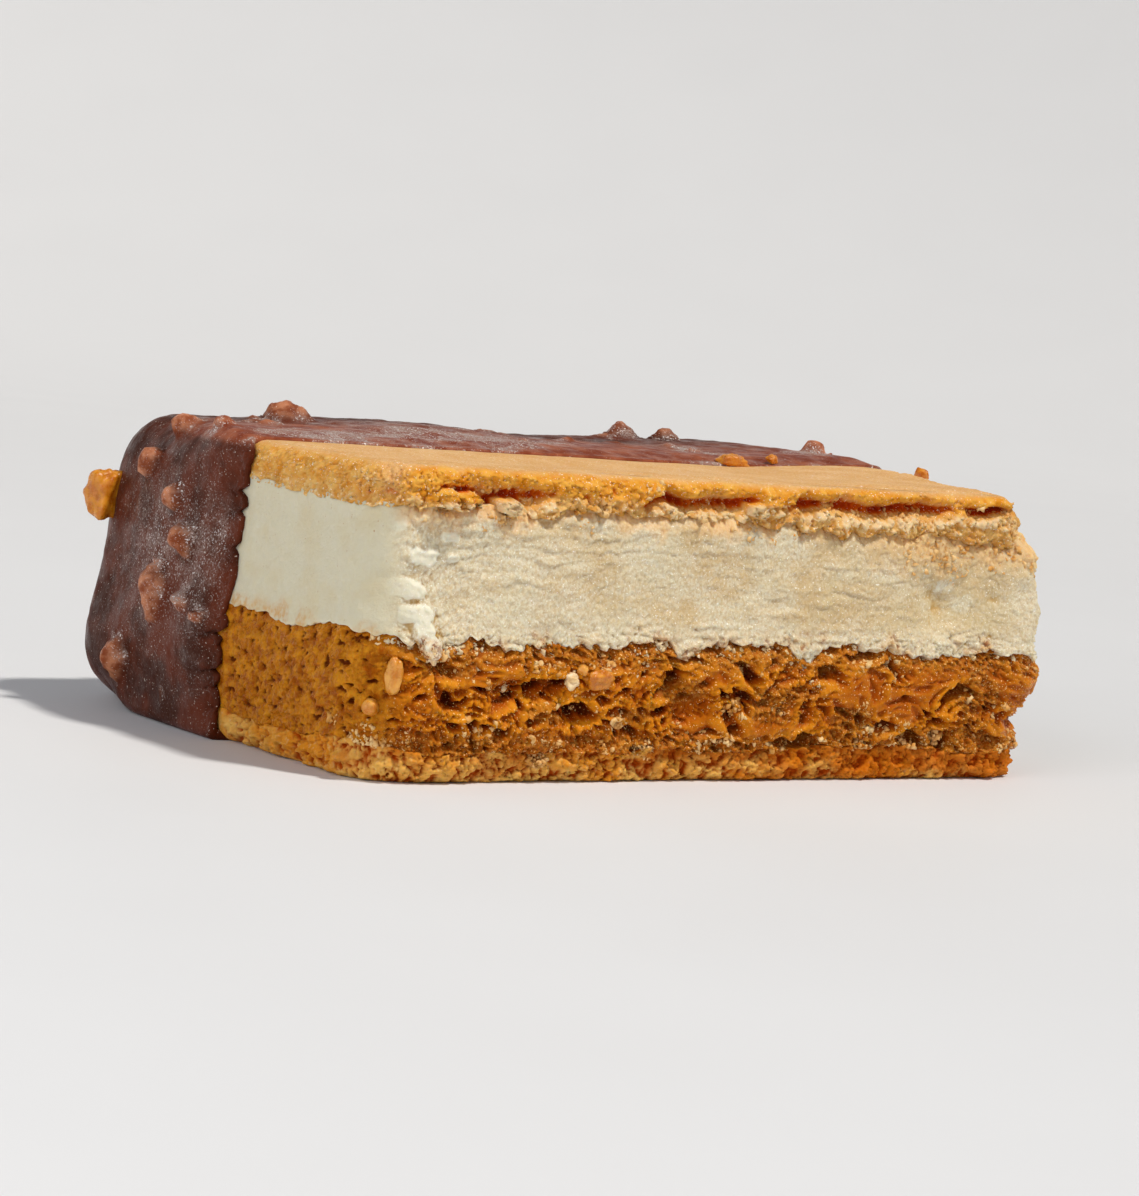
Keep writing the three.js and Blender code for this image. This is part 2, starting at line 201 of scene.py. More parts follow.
def seam_wave(x, y, level):
    """Waves of a seam between two layers: 0.7 (noise(p / 9) + 0.4 noise(p / 3)), and finer ones of 1.4 and
    0.6 mm that are 2.2 times as strong under the crust on the torn side. There are none under the chocolate.
    The top biscuit's seam hangs 1.8 mm lower near the right end, and 0.9 mm lower right of the middle."""
    under_crust = level > TOP_BISCUIT_FROM - 1
    fine = 0.35 * noise(x / 1.4, y / 1.4, level) + 0.2 * noise(x / 0.6, y / 0.6, level)
    fine = fine * (1 + 1.2 * under_crust * torn_share(x, y))
    hang = (1.8 * hump(x, 38, 6) + 0.9 * hump(x, 18, 13)) * under_crust
    slow = 0.7 * (noise(x / 9, y / 9, level) + 0.4 * noise(x / 3, y / 3, level))
    return (slow + fine - hang) * bare_share(y)


def graded(start, stop, first_step, growth):
    """Steps from start to stop, the first of about first_step and each growth times the one before."""
    count = max(2, round(math.log(1 + (growth - 1) * abs(stop - start) / first_step) / math.log(growth)))
    shares = np.cumsum(growth ** np.arange(count))
    return start + (stop - start) * np.concatenate(([0], shares / shares[-1]))


def hollowness(height, reach=9):
    """How far each point lies below its surroundings: the mean over a square window, less the point."""
    padded = np.pad(height, reach, mode="edge")
    sums = np.pad(padded.cumsum(axis=0).cumsum(axis=1), ((1, 0), (1, 0)))
    size = 2 * reach + 1
    window = sums[size:, size:] - sums[:-size, size:] - sums[size:, :-size] + sums[:-size, :-size]
    return window / size**2 - height


def layer_skin(low, high, rows, step, relief, droop, top_rise=None):
    """Closed skin of a layer, as rows up by columns round.
    Wall: p = outline(s) + n (swell(z) + relief - edge_inset(y, z)) with z from low(s) to high(s), then
    lowered by droop * relief, so that whatever stands out also hangs over. Under the chocolate it is 1.2 mm
    further in, and has 70 columns.
    Floor and roof: the wall's first and last rows, evened out over 61 points and drawn in towards the
    layer's middle line. Given with it is how hollow each point is."""
    hidden_columns, window = 70, 61
    before, after = window // 2 + 1, window // 2
    bare = np.arange(0, BARE_LENGTH, step)
    hidden = np.linspace(BARE_LENGTH, AROUND, hidden_columns, endpoint=False)
    x, y, nx, ny = outline(np.concatenate((bare, hidden)))
    z = low(x, y) + (high(x, y) - low(x, y)) * np.linspace(0, 1, rows)[:, None]
    height = relief(x, y, z) * bare_share(y)
    covered = 1.2 * ease(y, DIP_Y + 0.5, DIP_Y + 5)
    out = swell(z) + height - edge_inset(y, z) - covered
    hang = droop * height * ease(z - z[0], 0, 1) * ease(z[-1] - z, 0, 1)
    wall = np.stack((x + nx * out, y + ny * out, z - hang), axis=-1)

    def level(x, y, z):
        """The height as it is."""
        return z

    def drawn_in(row, shares, rise):
        """Rings from a row to its middle line: row + (even row - row) * ease(share, 0, 0.06), and from there
        that share of the way, at the heights that rise gives."""
        spine_x = np.clip(row[:, 0], -SPINE, SPINE)
        spine = np.stack((spine_x, np.full(len(row), MIDDLE_Y), row[:, 2]), axis=-1)
        sums = np.cumsum(np.concatenate((row[-before:], row, row[:after])), axis=0)
        even = (sums[window:] - sums[:-window]) / window
        rings = row + (even - row) * ease(shares, 0, 0.06)[:, None, None]
        rings = rings + (spine - rings) * shares[:, None, None]
        rings[..., 2] = rise(rings[..., 0], rings[..., 1], row[:, 2] + 0 * rings[..., 2])
        return rings

    coarse = np.array([0.04, 0.12, 0.9])
    floor = drawn_in(wall[0], coarse[::-1], level)
    roof_shares = graded(0, 0.94, step / 32, 1.04)[1:] if top_rise else coarse
    roof = drawn_in(wall[-1], roof_shares, top_rise or level)
    rings = np.concatenate((floor, wall, roof))
    return rings, np.concatenate((np.zeros(floor.shape[:2]), hollowness(height), np.zeros(roof.shape[:2])))


def closed_faces(rows, columns):
    """Corners of the quads of a grid that wraps round in its columns, and of the fans that close its first
    and last rows on the two points that come after the grid."""
    here = np.arange(rows * columns).reshape(rows, columns)
    right = np.roll(here, -1, axis=1)
    quads = np.stack((here[:-1], right[:-1], right[1:], here[1:]), axis=-1).reshape(-1, 4)
    foot = np.stack((right[0], here[0], np.full(columns, rows * columns)), axis=-1)
    head = np.stack((here[-1], right[-1], np.full(columns, rows * columns + 1)), axis=-1)
    return quads, foot, head


def filled_mesh(name, points, groups, values):
    """Mesh of those points in millimetres and groups of faces, with a value per point under each name. If its
    volume, the sum of p0 . (p1 x p2) / 6, comes out negative, all faces are turned over."""
    fans = [group[:, [0, n, n + 1]] for group in groups for n in range(1, group.shape[1] - 1)]
    a, b, c = (points[np.concatenate(fans)[:, n]] for n in range(3))
    turn = -1 if np.einsum("ij,ij->i", a, np.cross(b, c)).sum() < 0 else 1
    faces = [face for group in groups for face in group[:, ::turn].tolist()]
    mesh = bpy.data.meshes.new(name)
    mesh.from_pydata((points * MM).tolist(), [], faces)
    for key, value in values.items():
        mesh.attributes.new(key, "FLOAT", "POINT").data.foreach_set("value", value.astype(np.float32))
    mesh.shade_smooth()
    return mesh


def closed_mesh(name, rings, **values):
    """Mesh of rows of rings, each end closed by a fan to its ring's mean."""
    points = np.concatenate((rings.reshape(-1, 3), rings[:1].mean(axis=1), rings[-1:].mean(axis=1)))
    full = {key: np.append(value, (value[0].mean(), value[-1].mean())) for key, value in values.items()}
    return filled_mesh(name, points, closed_faces(*rings.shape[:2]), full)


def add_piece(name, mesh, material, slot, *nodes):
    """Puts a finished mesh in the scene, on the part's one body, in place of the frame's solids named."""
    piece = bpy.data.objects.new(name, mesh)
    bpy.context.scene.collection.objects.link(piece)
    mesh.materials.append(material)
    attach(piece, "root")
    if nodes:
        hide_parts(*nodes)
    return piece


def plug(tree, socket, value):
    """Links a socket to another socket, or sets it to a plain value."""
    if isinstance(value, bpy.types.NodeSocket):
        tree.links.new(value, socket)
    else:
        socket.default_value = value


def place(tree):
    """The piece's own coordinates in millimetres."""
    coordinates = tree.nodes.new("ShaderNodeTexCoord").outputs["Object"]
    mapping = tree.nodes.new("ShaderNodeMapping")
    mapping.inputs["Scale"].default_value = [1 / MM] * 3
    tree.links.new(coordinates, mapping.inputs["Vector"])
    return mapping.outputs["Vector"]


def cloud(tree, size, detail=3.0, rough=0.55):
    """Noise from 0 to 1, with blotches of that size in millimetres."""
    node = tree.nodes.new("ShaderNodeTexNoise")
    node.inputs["Scale"].default_value = 1 / size
    node.inputs["Detail"].default_value = detail
    node.inputs["Roughness"].default_value = rough
    tree.links.new(place(tree), node.inputs["Vector"])
    return node.outputs["Fac"]


def attribute(tree, name):
    """A value stored in the mesh."""
    node = tree.nodes.new("ShaderNodeAttribute")
    node.attribute_name = name
    return node.outputs["Fac"]


def spread(tree, value, low, high, to_low=0.0, to_high=1.0):
    """Smoothly maps low..high to to_low..to_high, and holds it there outside."""
    node = tree.nodes.new("ShaderNodeMapRange")
    node.interpolation_type = "SMOOTHSTEP"
    for socket, number in zip(node.inputs, (value, low, high, to_low, to_high)):
        plug(tree, socket, number)
    return node.outputs[0]


def maths(tree, operation, *values):
    """One arithmetic step."""
    node = tree.nodes.new("ShaderNodeMath")
    node.operation = operation
    for socket, value in zip(node.inputs, values):
        plug(tree, socket, value)
    return node.outputs[0]


def paint(colour):
    """A screen colour, 0 to 255 for each of red, green and blue, as linear light."""
    return [((c / 255 + 0.055) / 1.055) ** 2.4 for c in colour] + [1]


def blend(tree, share, first, second):
    """first + share * (second - first), for colours."""
    node = tree.nodes.new("ShaderNodeMix")
    node.data_type = "RGBA"
    for socket, value in zip((node.inputs[0], node.inputs[6], node.inputs[7]), (share, first, second)):
        plug(tree, socket, value)
    return node.outputs[2]


def shades(tree, dark, light, size, detail=4.0, rough=0.55, low=0.35, high=0.65):
    """Clouds of that size between two screen colours."""
    return blend(tree, spread(tree, cloud(tree, size, detail, rough), low, high), paint(dark), paint(light))


def speckled(tree, body, colour, size, low, high, strength, detail=1.0, rough=0.55):
    """A body with specks of a screen colour, where clouds of that size go from low to high."""
    share = spread(tree, cloud(tree, size, detail, rough), low, high, 0.0, strength)
    return blend(tree, share, body, paint(colour))


def shade_in_hollows(tree, body, colour, low, high):
    """A body with painted shade of a screen colour in its hollows, from those low deep to those high deep."""
    return blend(tree, spread(tree, attribute(tree, "hollow"), low, high), body, paint(colour))


def bumps(tree, height, depth, under=None):
    """Fine relief of that depth in millimetres, over relief that is already there."""
    node = tree.nodes.new("ShaderNodeBump")
    node.inputs["Strength"].default_value = 1
    node.inputs["Distance"].default_value = depth * MM
    plug(tree, node.inputs["Height"], height)
    if under:
        plug(tree, node.inputs["Normal"], under)
    return node.outputs["Normal"]


def new_finish(name, colour, roughness, normal, **sockets):
    """A Principled material. Sockets are named by their words joined with _."""
    material = bpy.data.materials.new(name)
    material.use_nodes = True
    tree = material.node_tree
    shader = tree.nodes["Principled BSDF"]
    plug(tree, shader.inputs["Base Color"], colour(tree))
    plug(tree, shader.inputs["Roughness"], roughness(tree))
    plug(tree, shader.inputs["Normal"], normal(tree))
    for key, value in sockets.items():
        plug(tree, shader.inputs[key.replace("_", " ")], value)
    return material


def crumb_relief(x, y, z, size, depth):
    """Uneven grains of about that size: depth * (0.5 * the grain's number - 0.8 * distance²), in a space
    bent by 0.7 * noise, with pits of half the size between them."""
    x, y, z = x / size, y / size, z / size
    bend_x, bend_z = 0.7 * noise(x, y, z + 21), 0.7 * noise(x + 33, y, z)
    distance, _, _, chance = cells(x + bend_x, y, z + bend_z)
    return depth * (0.5 * chance - 0.8 * distance**2 - 0.4 * np.maximum(0, noise(2 * x, 2 * y, 2 * z)))


def right_end_bulge(x, y, z):
    """At the right end's torn corner the layers stand out 1 mm, the filling 1.5 mm more between 11 and 28 mm
    up, and 0.7 mm more round 20 mm, with a notch 7 mm up and lumps of 3 mm. It is less and less towards the
    chocolate."""
    filling = 1.5 * ease(z, 9, 13) * (1 - ease(z, 26.5, 31.5))
    filling = filling + 0.7 * hump(z, 20, 4) - 0.9 * hump(z, 7.2, 1.5)
    filling = filling + 0.5 * ease(z, 9, 13) * noise(x / 3, y / 3, z / 2 + 110)
    return (1 + filling) * ease(x, 37, 45) * (1 - ease(y, -30, -6))


def bottom_biscuit_relief(x, y, z):
    """Waves of 5 and 1.9 mm with crumb of 0.9 and 0.45 mm, moved out by 0.1 mm, and half that at the foot."""
    waves = 0.5 * noise(x / 5, y / 5, z / 2) + 0.4 * noise(x / 1.9, y / 1.9, z)
    crumb = crumb_relief(x, y, z, 0.9, 0.7) + crumb_relief(x, y, z, 0.45, 0.4)
    return ease(z, -0.3, 0.3) * (waves + 0.1 + crumb) + right_end_bulge(x, y, z)


def soaked_share(x, y, z):
    """Where caramel has soaked the rim, from 0 to 1: in clouds of 5 and 1.5 mm on the torn side, more to the
    right and higher up."""
    clouds = noise(x / 5, y / 5, z / 2 + 25) + 0.7 * noise(x / 1.5, y / 1.5, z + 27)
    return ease(clouds + 0.02 * x + 0.3 * (z - 2), -0.5, 0.6) * (1 - ease(y, NEAR_Y - 3, NEAR_Y + 3))


def crumb_colour(tree):
    """Brown-gold crumb with pale grains, orange-brown where caramel has soaked it, and painted orange-brown
    shade between the grains.
    """
    body = shades(tree, (226, 145, 38), (236, 182, 92), 5.0)
    body = speckled(tree, body, (238, 206, 146), 0.5, 0.52, 0.72, 0.5, 3.0, 0.7)
    soaked = maths(tree, "MULTIPLY", attribute(tree, "soaked"), 0.85)
    body = blend(tree, soaked, body, paint((200, 104, 4)))
    # Painted orange-brown shade in the hollows between the grains.
    return shade_in_hollows(tree, body, (174, 70, 0), -0.1, 0.45)


def crumb_bumps(tree):
    """Grain of 0.5 mm under grain of 0.15 mm."""
    coarse = bumps(tree, cloud(tree, 0.5, 4.0, 0.7), 0.25)
    return bumps(tree, cloud(tree, 0.15, 2.0), 0.06, coarse)


biscuit_crumb = new_finish(
    "biscuit_crumb",
    crumb_colour,
    lambda tree: spread(tree, cloud(tree, 1.0), 0.3, 0.7, 0.55, 0.85),
    crumb_bumps,
    Subsurface_Weight=0.2,
    Subsurface_Radius=(1.0, 0.5, 0.2),
    Subsurface_Scale=0.5 * MM,
    Specular_IOR_Level=0.15,
    Specular_Tint=(1, 0.7, 0.3, 1),
)
bottom_rings, bottom_hollow = layer_skin(
    lambda x, y: 0 * x,
    lambda x, y: CARAMEL_FROM + seam_wave(x, y, CARAMEL_FROM),
    rows=26,
    step=0.17,
    relief=bottom_biscuit_relief,
    droop=0.1,
)
add_piece(
    "bottom_biscuit_crumb",
    closed_mesh(
        "bottom_biscuit_crumb",
        bottom_rings,
        hollow=bottom_hollow,
        soaked=soaked_share(*np.moveaxis(bottom_rings, -1, 0)),
    ),
    biscuit_crumb,
    "bottom_biscuit",
    "bottom_biscuit",
)

# ====================================================================================================
# Caramel ice cream
# The lower filling: chewy frozen caramel. The long side has been torn open, so it is all ragged ledges
# over dark hollows, with a few burst air pockets. The ends are cut smooth and only pitted.
# ====================================================================================================

POCKETS = [  # x, z, half width, half height, depth
    (-28, 9.9, 3.2, 1.4, 1.6),
    (-20.5, 7.3, 1.3, 1.2, 1.4),
    (-5.6, 8, 3.4, 2.3, 1.7),
]


def bowls(x, y, z, wide, high, depth, seed):
    """Torn bubbles between rounded webs. With n the bubble's number and t going from 0 to 1 as the gap to
    the second nearest centre goes from 0.05 to 0.55, they lie depth * (0.5 + 0.5 n + 0.5 max(0, n - 0.4)) *
    (3t² - 2t³) below the webs, times 1 + 0.7 of the height over the centre, so deepest in the upper half."""
    _, gap, over, chance = cells(x / wide, y / wide, z / high + seed)
    share = 0.5 + 0.5 * chance + 0.5 * np.maximum(0, chance - 0.4)
    return -depth * share * ease(gap, 0.05, 0.55) * (1 + 0.7 * np.clip(over, -0.8, 0.8))


def caramel_grain(x, y, z):
    """How grainy the torn caramel is, from 0 to 1: most by the biscuit and by the vanilla, and in clouds."""
    edges = 1 - ease(z, CARAMEL_FROM + 0.8, CARAMEL_FROM + 2.6)
    edges = edges + ease(z, VANILLA_FROM - 3.5, VANILLA_FROM - 1)
    return np.clip(edges + ease(noise(x / 6, y / 6, z / 2.5 + 70), 0.0, 0.4), 0, 1)


def caramel_relief(x, y, z):
    """Torn: bowls of 5.6 by 2.7, 1.9 by 1.1 and 0.8 by 0.6 mm, bent by noise of 6 and 1.6 mm and calmer in
    places, with long lips low on the left, burst pockets, grain of 0.4 mm, and a groove under the vanilla.
    Cut: waves of 3 mm, soft lips, shallow bowls of 1.5 mm, grain and clustered pits of 1 mm."""
    bent_x = x + 2.2 * noise(x / 6, y / 6, z / 3 + 30) + 0.9 * noise(x / 1.6, y / 1.6, z / 1.2 + 40)
    bent_z = z + 1.5 * noise(x / 5, y / 5, z / 3 + 50) + 0.6 * noise(x / 1.6, y / 1.6, z / 1.2 + 60)
    grain = caramel_grain(x, y, z)
    calm = ease(noise(x / 8, y / 8, z / 3 + 80), -0.1, 0.3)
    torn = 0.85 + bowls(bent_x, y, bent_z, 5.6, 2.7, 2.7, 0)
    torn = torn + (1 - 0.6 * calm) * bowls(bent_x, y, bent_z, 1.9, 1.1, 1.15, 20)
    small = bowls(bent_x, y, bent_z, 0.8, 0.6, 0.5, 40) + crumb_relief(x, y, z, 0.35, 0.3)
    torn = torn + (1 - 0.85 * calm) * small
    torn = torn + 0.9 * hump(x, -33, 10) * hump(z, 6, 2.2) * lips(x, y, bent_z, 2.1, 9, 0)
    torn = torn + grain * crumb_relief(x, y, z, 0.42, 0.4)
    torn = torn - 0.7 * ease(z, VANILLA_FROM - 1.5, VANILLA_FROM)
    torn = torn - spots(x, z, POCKETS)
    pits = ease(layered(x / 1.0, y / 1.0, z / 0.65, 3), 0.2, 0.9)
    smooth = 0.3 * noise(x / 3, y / 3, z / 2) + 0.3 * lips(x, y, bent_z, 1.3, 1.5, 300) - 0.55 * pits
    smooth = smooth + bowls(bent_x, y, bent_z, 1.5, 1.0, 0.25, 60) + crumb_relief(x, y, z, 0.45, 0.25)
    share = torn_share(x, y)
    return share * torn + (1 - share) * smooth - 0.2 + right_end_bulge(x, y, z)


def caramel_colour(tree):
    """Deep amber: on the torn side bright toffee on the crests and brown in the hollows, darker deep in them,
    which is painted light and shade, tan where it is grainy, and painted glints; duller ochre on the cut
    ends, with painted shade in their pits."""
    # Painted light and shade: the lit crest colour where the caramel stands out, the darker middle one in
    # hollows.
    lit_crest = blend(tree, cloud(tree, 2.5), paint((200, 113, 0)), paint((228, 152, 34)))
    middle = blend(tree, cloud(tree, 3.0), paint((147, 61, 0)), paint((178, 81, 0)))
    torn = blend(tree, spread(tree, attribute(tree, "hollow"), -0.6, 0.22), lit_crest, middle)
    # Painted dark brown shade deep in the hollows.
    torn = shade_in_hollows(tree, torn, (84, 22, 0), 0.12, 0.7)
    tan = shades(tree, (144, 70, 0), (202, 140, 60), 0.5, 3.0, 0.7, 0.42, 0.66)
    torn = blend(tree, maths(tree, "MULTIPLY", attribute(tree, "grain"), 0.65), torn, tan)
    # Painted glints: pale specks for light caught on the wet crests.
    torn = speckled(tree, torn, (252, 218, 156), 0.24, 0.66, 0.71, 0.85)
    cut = shades(tree, (146, 70, 0), (208, 138, 30), 1.6, 5.0, 0.7, 0.3, 0.7)
    # Painted shade in the pits of the cut ends.
    cut = shade_in_hollows(tree, cut, (96, 33, 0), 0.06, 0.34)
    return blend(tree, attribute(tree, "torn"), cut, torn)


caramel_finish = new_finish(
    "caramel_finish",
    caramel_colour,
    lambda tree: spread(tree, cloud(tree, 0.8, 4.0), 0.35, 0.65, 0.16, 0.55),
    lambda tree: bumps(tree, cloud(tree, 0.2, 3.0), 0.07, bumps(tree, cloud(tree, 0.7, 4.0, 0.6), 0.2)),
    Subsurface_Weight=0.35,
    Subsurface_Radius=(1.0, 0.4, 0.12),
    Subsurface_Scale=0.6 * MM,
    Specular_IOR_Level=0.28,
    Specular_Tint=(1, 0.5, 0.1, 1),
)
caramel_rings, caramel_hollow = layer_skin(
    lambda x, y: CARAMEL_FROM + seam_wave(x, y, CARAMEL_FROM),
    lambda x, y: VANILLA_FROM + 0.6 + seam_wave(x, y, VANILLA_FROM),
    rows=82,
    step=0.155,
    relief=caramel_relief,
    droop=0.4,
)
add_piece(
    "caramel_filling",
    closed_mesh(
        "caramel_filling",
        caramel_rings,
        hollow=caramel_hollow,
        torn=torn_share(caramel_rings[..., 0], caramel_rings[..., 1]),
        grain=caramel_grain(*np.moveaxis(caramel_rings, -1, 0)),
    ),
    caramel_finish,
    "caramel_ice_cream",
    "caramel_ice_cream",
)

# ====================================================================================================
# Vanilla ice cream
# The upper filling: firm frozen cream. The long side is scraped into fine grain and small sideways
# wrinkles, with a frilled lower edge. The ends are smooth.
# ====================================================================================================


def clods(x, y, z, places):
    """Lumps torn half loose, with flat tops and ragged outlines. With a = (|x - px|³ / wide³ +
    |z - pz|³ / high³)^(1/3) + 0.3 noise(p / 0.8), each stands out where a is under 1.05, and fully where it
    is under 0.75."""
    ragged = 0.3 * noise(x / 0.8, y / 0.8, z / 0.8)
    height = np.zeros(np.shape(x + y + z))
    for px, pz, wide, high, out in places:
        away = (np.abs((x - px) / wide) ** 3 + np.abs((z - pz) / high) ** 3) ** (1 / 3) + ragged
        height = np.maximum(height, out * (1 - ease(away, 0.75, 1.05)))
    return height * torn_share(x, y)


VANILLA_TONGUES = [  # x, how far down, half width
    (-38.9, 1.6, 0.9),
    (-6, 1.2, 2),
    (10.5, 2.4, 1.5),
    (20, 0.9, 3),
]
VANILLA_CLODS = [  # x, z, half width, half height, how far out
    (-42.6, 26.9, 1.2, 0.9, 0.25),
    (-36.8, 25.7, 1.2, 0.6, 0.2),
    (-39.8, 23.5, 1.6, 0.9, 0.35),
    (-36.4, 23.5, 0.8, 0.5, 0.2),
    (-41.5, 20.2, 2.0, 1.1, 0.3),
    (-40.6, 17.7, 2.0, 1.0, 0.4),
    (-39.7, 16.0, 1.2, 1.1, 0.5),
    (-38.9, 14.4, 0.9, 1.2, 0.7),
    (31.5, 22.5, 1.4, 0.9, 0.1),
    (34, 20.4, 1.5, 1.0, 0.1),
]


def vanilla_foot(x, y):
    """The seam's wave, with a frill of 2.2, 0.9 and 0.45 mm waves along its torn side, and tongues that hang
    down."""
    frill = 0.5 * noise(x / 2.2, y / 2.2, 2) + 0.4 * noise(x / 0.9, y / 0.9, 4)
    frill = frill + 0.25 * noise(x / 0.45, y / 0.45, 6)
    frill = frill - sum(down * hump(x, middle, wide) for middle, down, wide in VANILLA_TONGUES)
    return VANILLA_FROM + seam_wave(x, y, VANILLA_FROM) + frill * torn_share(x, y) * bare_share(y)


def crumb_dust(x, y, z):
    """How much biscuit crumb is trodden into the vanilla, from 0 to 1: just under the biscuit, and far down
    at the right."""
    ragged = 1.5 * noise(x / 2.5, y / 2.5, z / 2) + 0.8 * noise(x / 0.8, y / 0.8, z / 0.8)
    under_biscuit = ease(z + ragged, 26.5, 29.5)
    return np.clip(under_biscuit + 0.8 * ease(x, 10, 34) * ease(z + ragged, 22.5, 26.5), 0, 1)


def vanilla_relief(x, y, z):
    """Bulges of 12 and 3.5 mm, faint hollows of 3.2 by 1.5 mm, icy grain of 0.9 and 0.42 mm, coarser by the
    left corner and at the right end, wrinkles 1.3 mm apart in patches and faint ones 0.7 mm apart, a
    crumbling foot with wrinkles 1 and 0.5 mm apart, and clods. It draws in by 0.9 mm just under the biscuit.
    The cut ends have soft waves of 4 and 1.2 mm."""
    bulge = 0.4 * noise(x / 12, y / 12, z / 7 + 5) + 0.12 * noise(x / 3.5, y / 3.5, z / 2.2 + 9)
    dimple = -1.3 * hump(x, 30.5, 3) * hump(z, 19.8, 2.6)
    edge = z - TOP_BISCUIT_FROM - seam_wave(x, y, TOP_BISCUIT_FROM)
    dimple = dimple - 0.9 * ease(edge, -1.4, 0.2)
    over_foot = z - VANILLA_FROM + 1.3 * noise(x / 4, y / 4, 18) + 0.5 * noise(x / 1.1, y / 1.1, 19)
    low = 1 - ease(over_foot, 0.3, 2.6)
    bent = z + 0.5 * noise(x / 4, y / 4, z / 3 + 12) + 0.35 * noise(x / 1.2, y / 1.2, z + 14)
    hollows = 0.22 * ease(noise(x / 3.2, y / 3.2, bent / 1.5 + 11), 0.0, 0.8)
    wrinkles = 0.25 * low * lips(x, y, bent, 1.0, 1.6, 400) + 0.25 * low * lips(x, y, bent + 5, 0.5, 0.9, 500)
    patches = ease(noise(x / 9, y / 9, z / 4 + 16), -0.5, 0.2) * (1 - 0.7 * ease(x, 20, 30))
    wrinkles = wrinkles + 0.26 * patches * lips(x, y, bent + 9, 1.3, 3.5, 600)
    wrinkles = wrinkles + 0.07 * lips(x, y, bent + 3, 0.7, 1.7, 700)
    clod = clods(x, y, z, VANILLA_CLODS)
    rough = 0.4 * low + 0.35 * crumb_dust(x, y, z) + 0.3 * hump(x, -39, 5) + 0.5 * ease(x, 40, 45) - 2 * clod
    rough = np.maximum(rough, 0)
    ice = crumb_relief(x, y, z, 0.9, 0.1 + 0.3 * rough)
    ice = ice + crumb_relief(x, y, z, 0.42, 0.11 + 0.2 * rough + 0.08 * low)
    foot = 0.15 * low**2 * (1 + 1.5 * noise(x / 1.8, y / 1.8, 15))
    share = torn_share(x, y)
    smooth = 0.12 * layered(x / 4, y / 4, z / 4, 4) + 0.05 * layered(x / 1.2, y / 1.2, z, 2)
    torn = bulge + dimple - hollows + wrinkles + ice + foot + clod
    return share * torn + (1 - share) * smooth + right_end_bulge(x, y, z)


def vanilla_ice(x, y, z):
    """How white the ice is, from 0 to 1: all over the clods, and from 0.4 to 0.88 elsewhere, more in clouds
    of 6 and 2 mm, fewer to the right, in two patches under the crust and at the right end, at the foot, and
    by the left corner."""
    clouds = noise(x / 6, y / 6, z / 3 + 90) + 0.6 * noise(x / 2, y / 2, z / 1.3 + 92)
    patches = spots(x, z, ((8, 26.3, 3, 1.2, 1), (43, 20.5, 3, 3.5, 1)))
    clouds = ease(clouds - 0.018 * x, -0.5, 0.8) + 1 - ease(z - VANILLA_FROM, 0.5, 3.5) + 1.5 * patches
    grainy = np.clip(0.4 + 0.45 * np.minimum(clouds, 1) + 0.15 * hump(x, -37, 9), 0, 0.88)
    return np.minimum(grainy + clods(x, y, z, VANILLA_CLODS) / 0.25, 1)


def vanilla_rub(x, y, z):
    """How much caramel is rubbed into the vanilla's foot, from 0 to 1: in patches, up to 3 mm high, and all
    along by the chocolate."""
    patches = ease(noise(x / 2.5, y / 2.5, z / 2 + 20) + 0.5 * noise(x, y, z + 22), -0.3, 0.6)
    over_foot = z - VANILLA_FROM + 0.8 * noise(x / 1.2, y / 1.2, z / 0.8)
    return np.clip(patches + hump(y, -6, 6), 0, 1) * (1 - ease(over_foot, 0, 2.2))


def vanilla_colour(tree):
    """Cream: buff and faintly clear between pale grains of ice, painted buff shade in the hollows, painted
    white glints, gold where crumb is trodden in, and amber to brown where caramel is rubbed in. The cut end
    is plain cream with a few warm clouds and specks."""
    body = shades(tree, (200, 174, 122), (198, 163, 102), 5.0)
    ice = attribute(tree, "ice")
    icy = maths(tree, "MULTIPLY", ice, spread(tree, cloud(tree, 0.3, 3.0, 0.65), 0.36, 0.64, 0.42, 0.95))
    icy = maths(tree, "MAXIMUM", icy, spread(tree, ice, 0.88, 1.0))
    pale = blend(tree, icy, body, paint((232, 227, 206)))
    # Painted buff shade in the hollows.
    pale = shade_in_hollows(tree, pale, (200, 162, 96), 0.1, 0.4)
    # Painted glints: white specks for grains of ice catching the light.
    pale = speckled(tree, pale, (252, 250, 240), 0.22, 0.66, 0.72, 0.85)
    gold = blend(tree, cloud(tree, 0.5, 3.0), paint((228, 160, 72)), paint((246, 214, 160)))
    pale = blend(tree, maths(tree, "MULTIPLY", attribute(tree, "dust"), 0.75), pale, gold)
    end = speckled(tree, paint((213, 206, 180)), (208, 190, 146), 4.0, 0.4, 0.8, 0.5, 4.0)
    end = speckled(tree, end, (176, 122, 70), 0.35, 0.74, 0.8, 0.6)
    pale = blend(tree, attribute(tree, "torn"), end, pale)
    rub = attribute(tree, "rub")
    amber = maths(tree, "MULTIPLY", rub, spread(tree, cloud(tree, 0.6, 4.0), 0.3, 0.7, 0.1, 0.8))
    pale = blend(tree, amber, pale, paint((204, 148, 66)))
    gaps = spread(tree, cloud(tree, 0.7, 3.0, 0.7), 0.5, 0.6, 0.0, 0.85)
    gaps = maths(tree, "MULTIPLY", attribute(tree, "torn"), gaps)
    gaps = maths(tree, "MULTIPLY", rub, gaps)
    return blend(tree, gaps, pale, paint((146, 76, 12)))


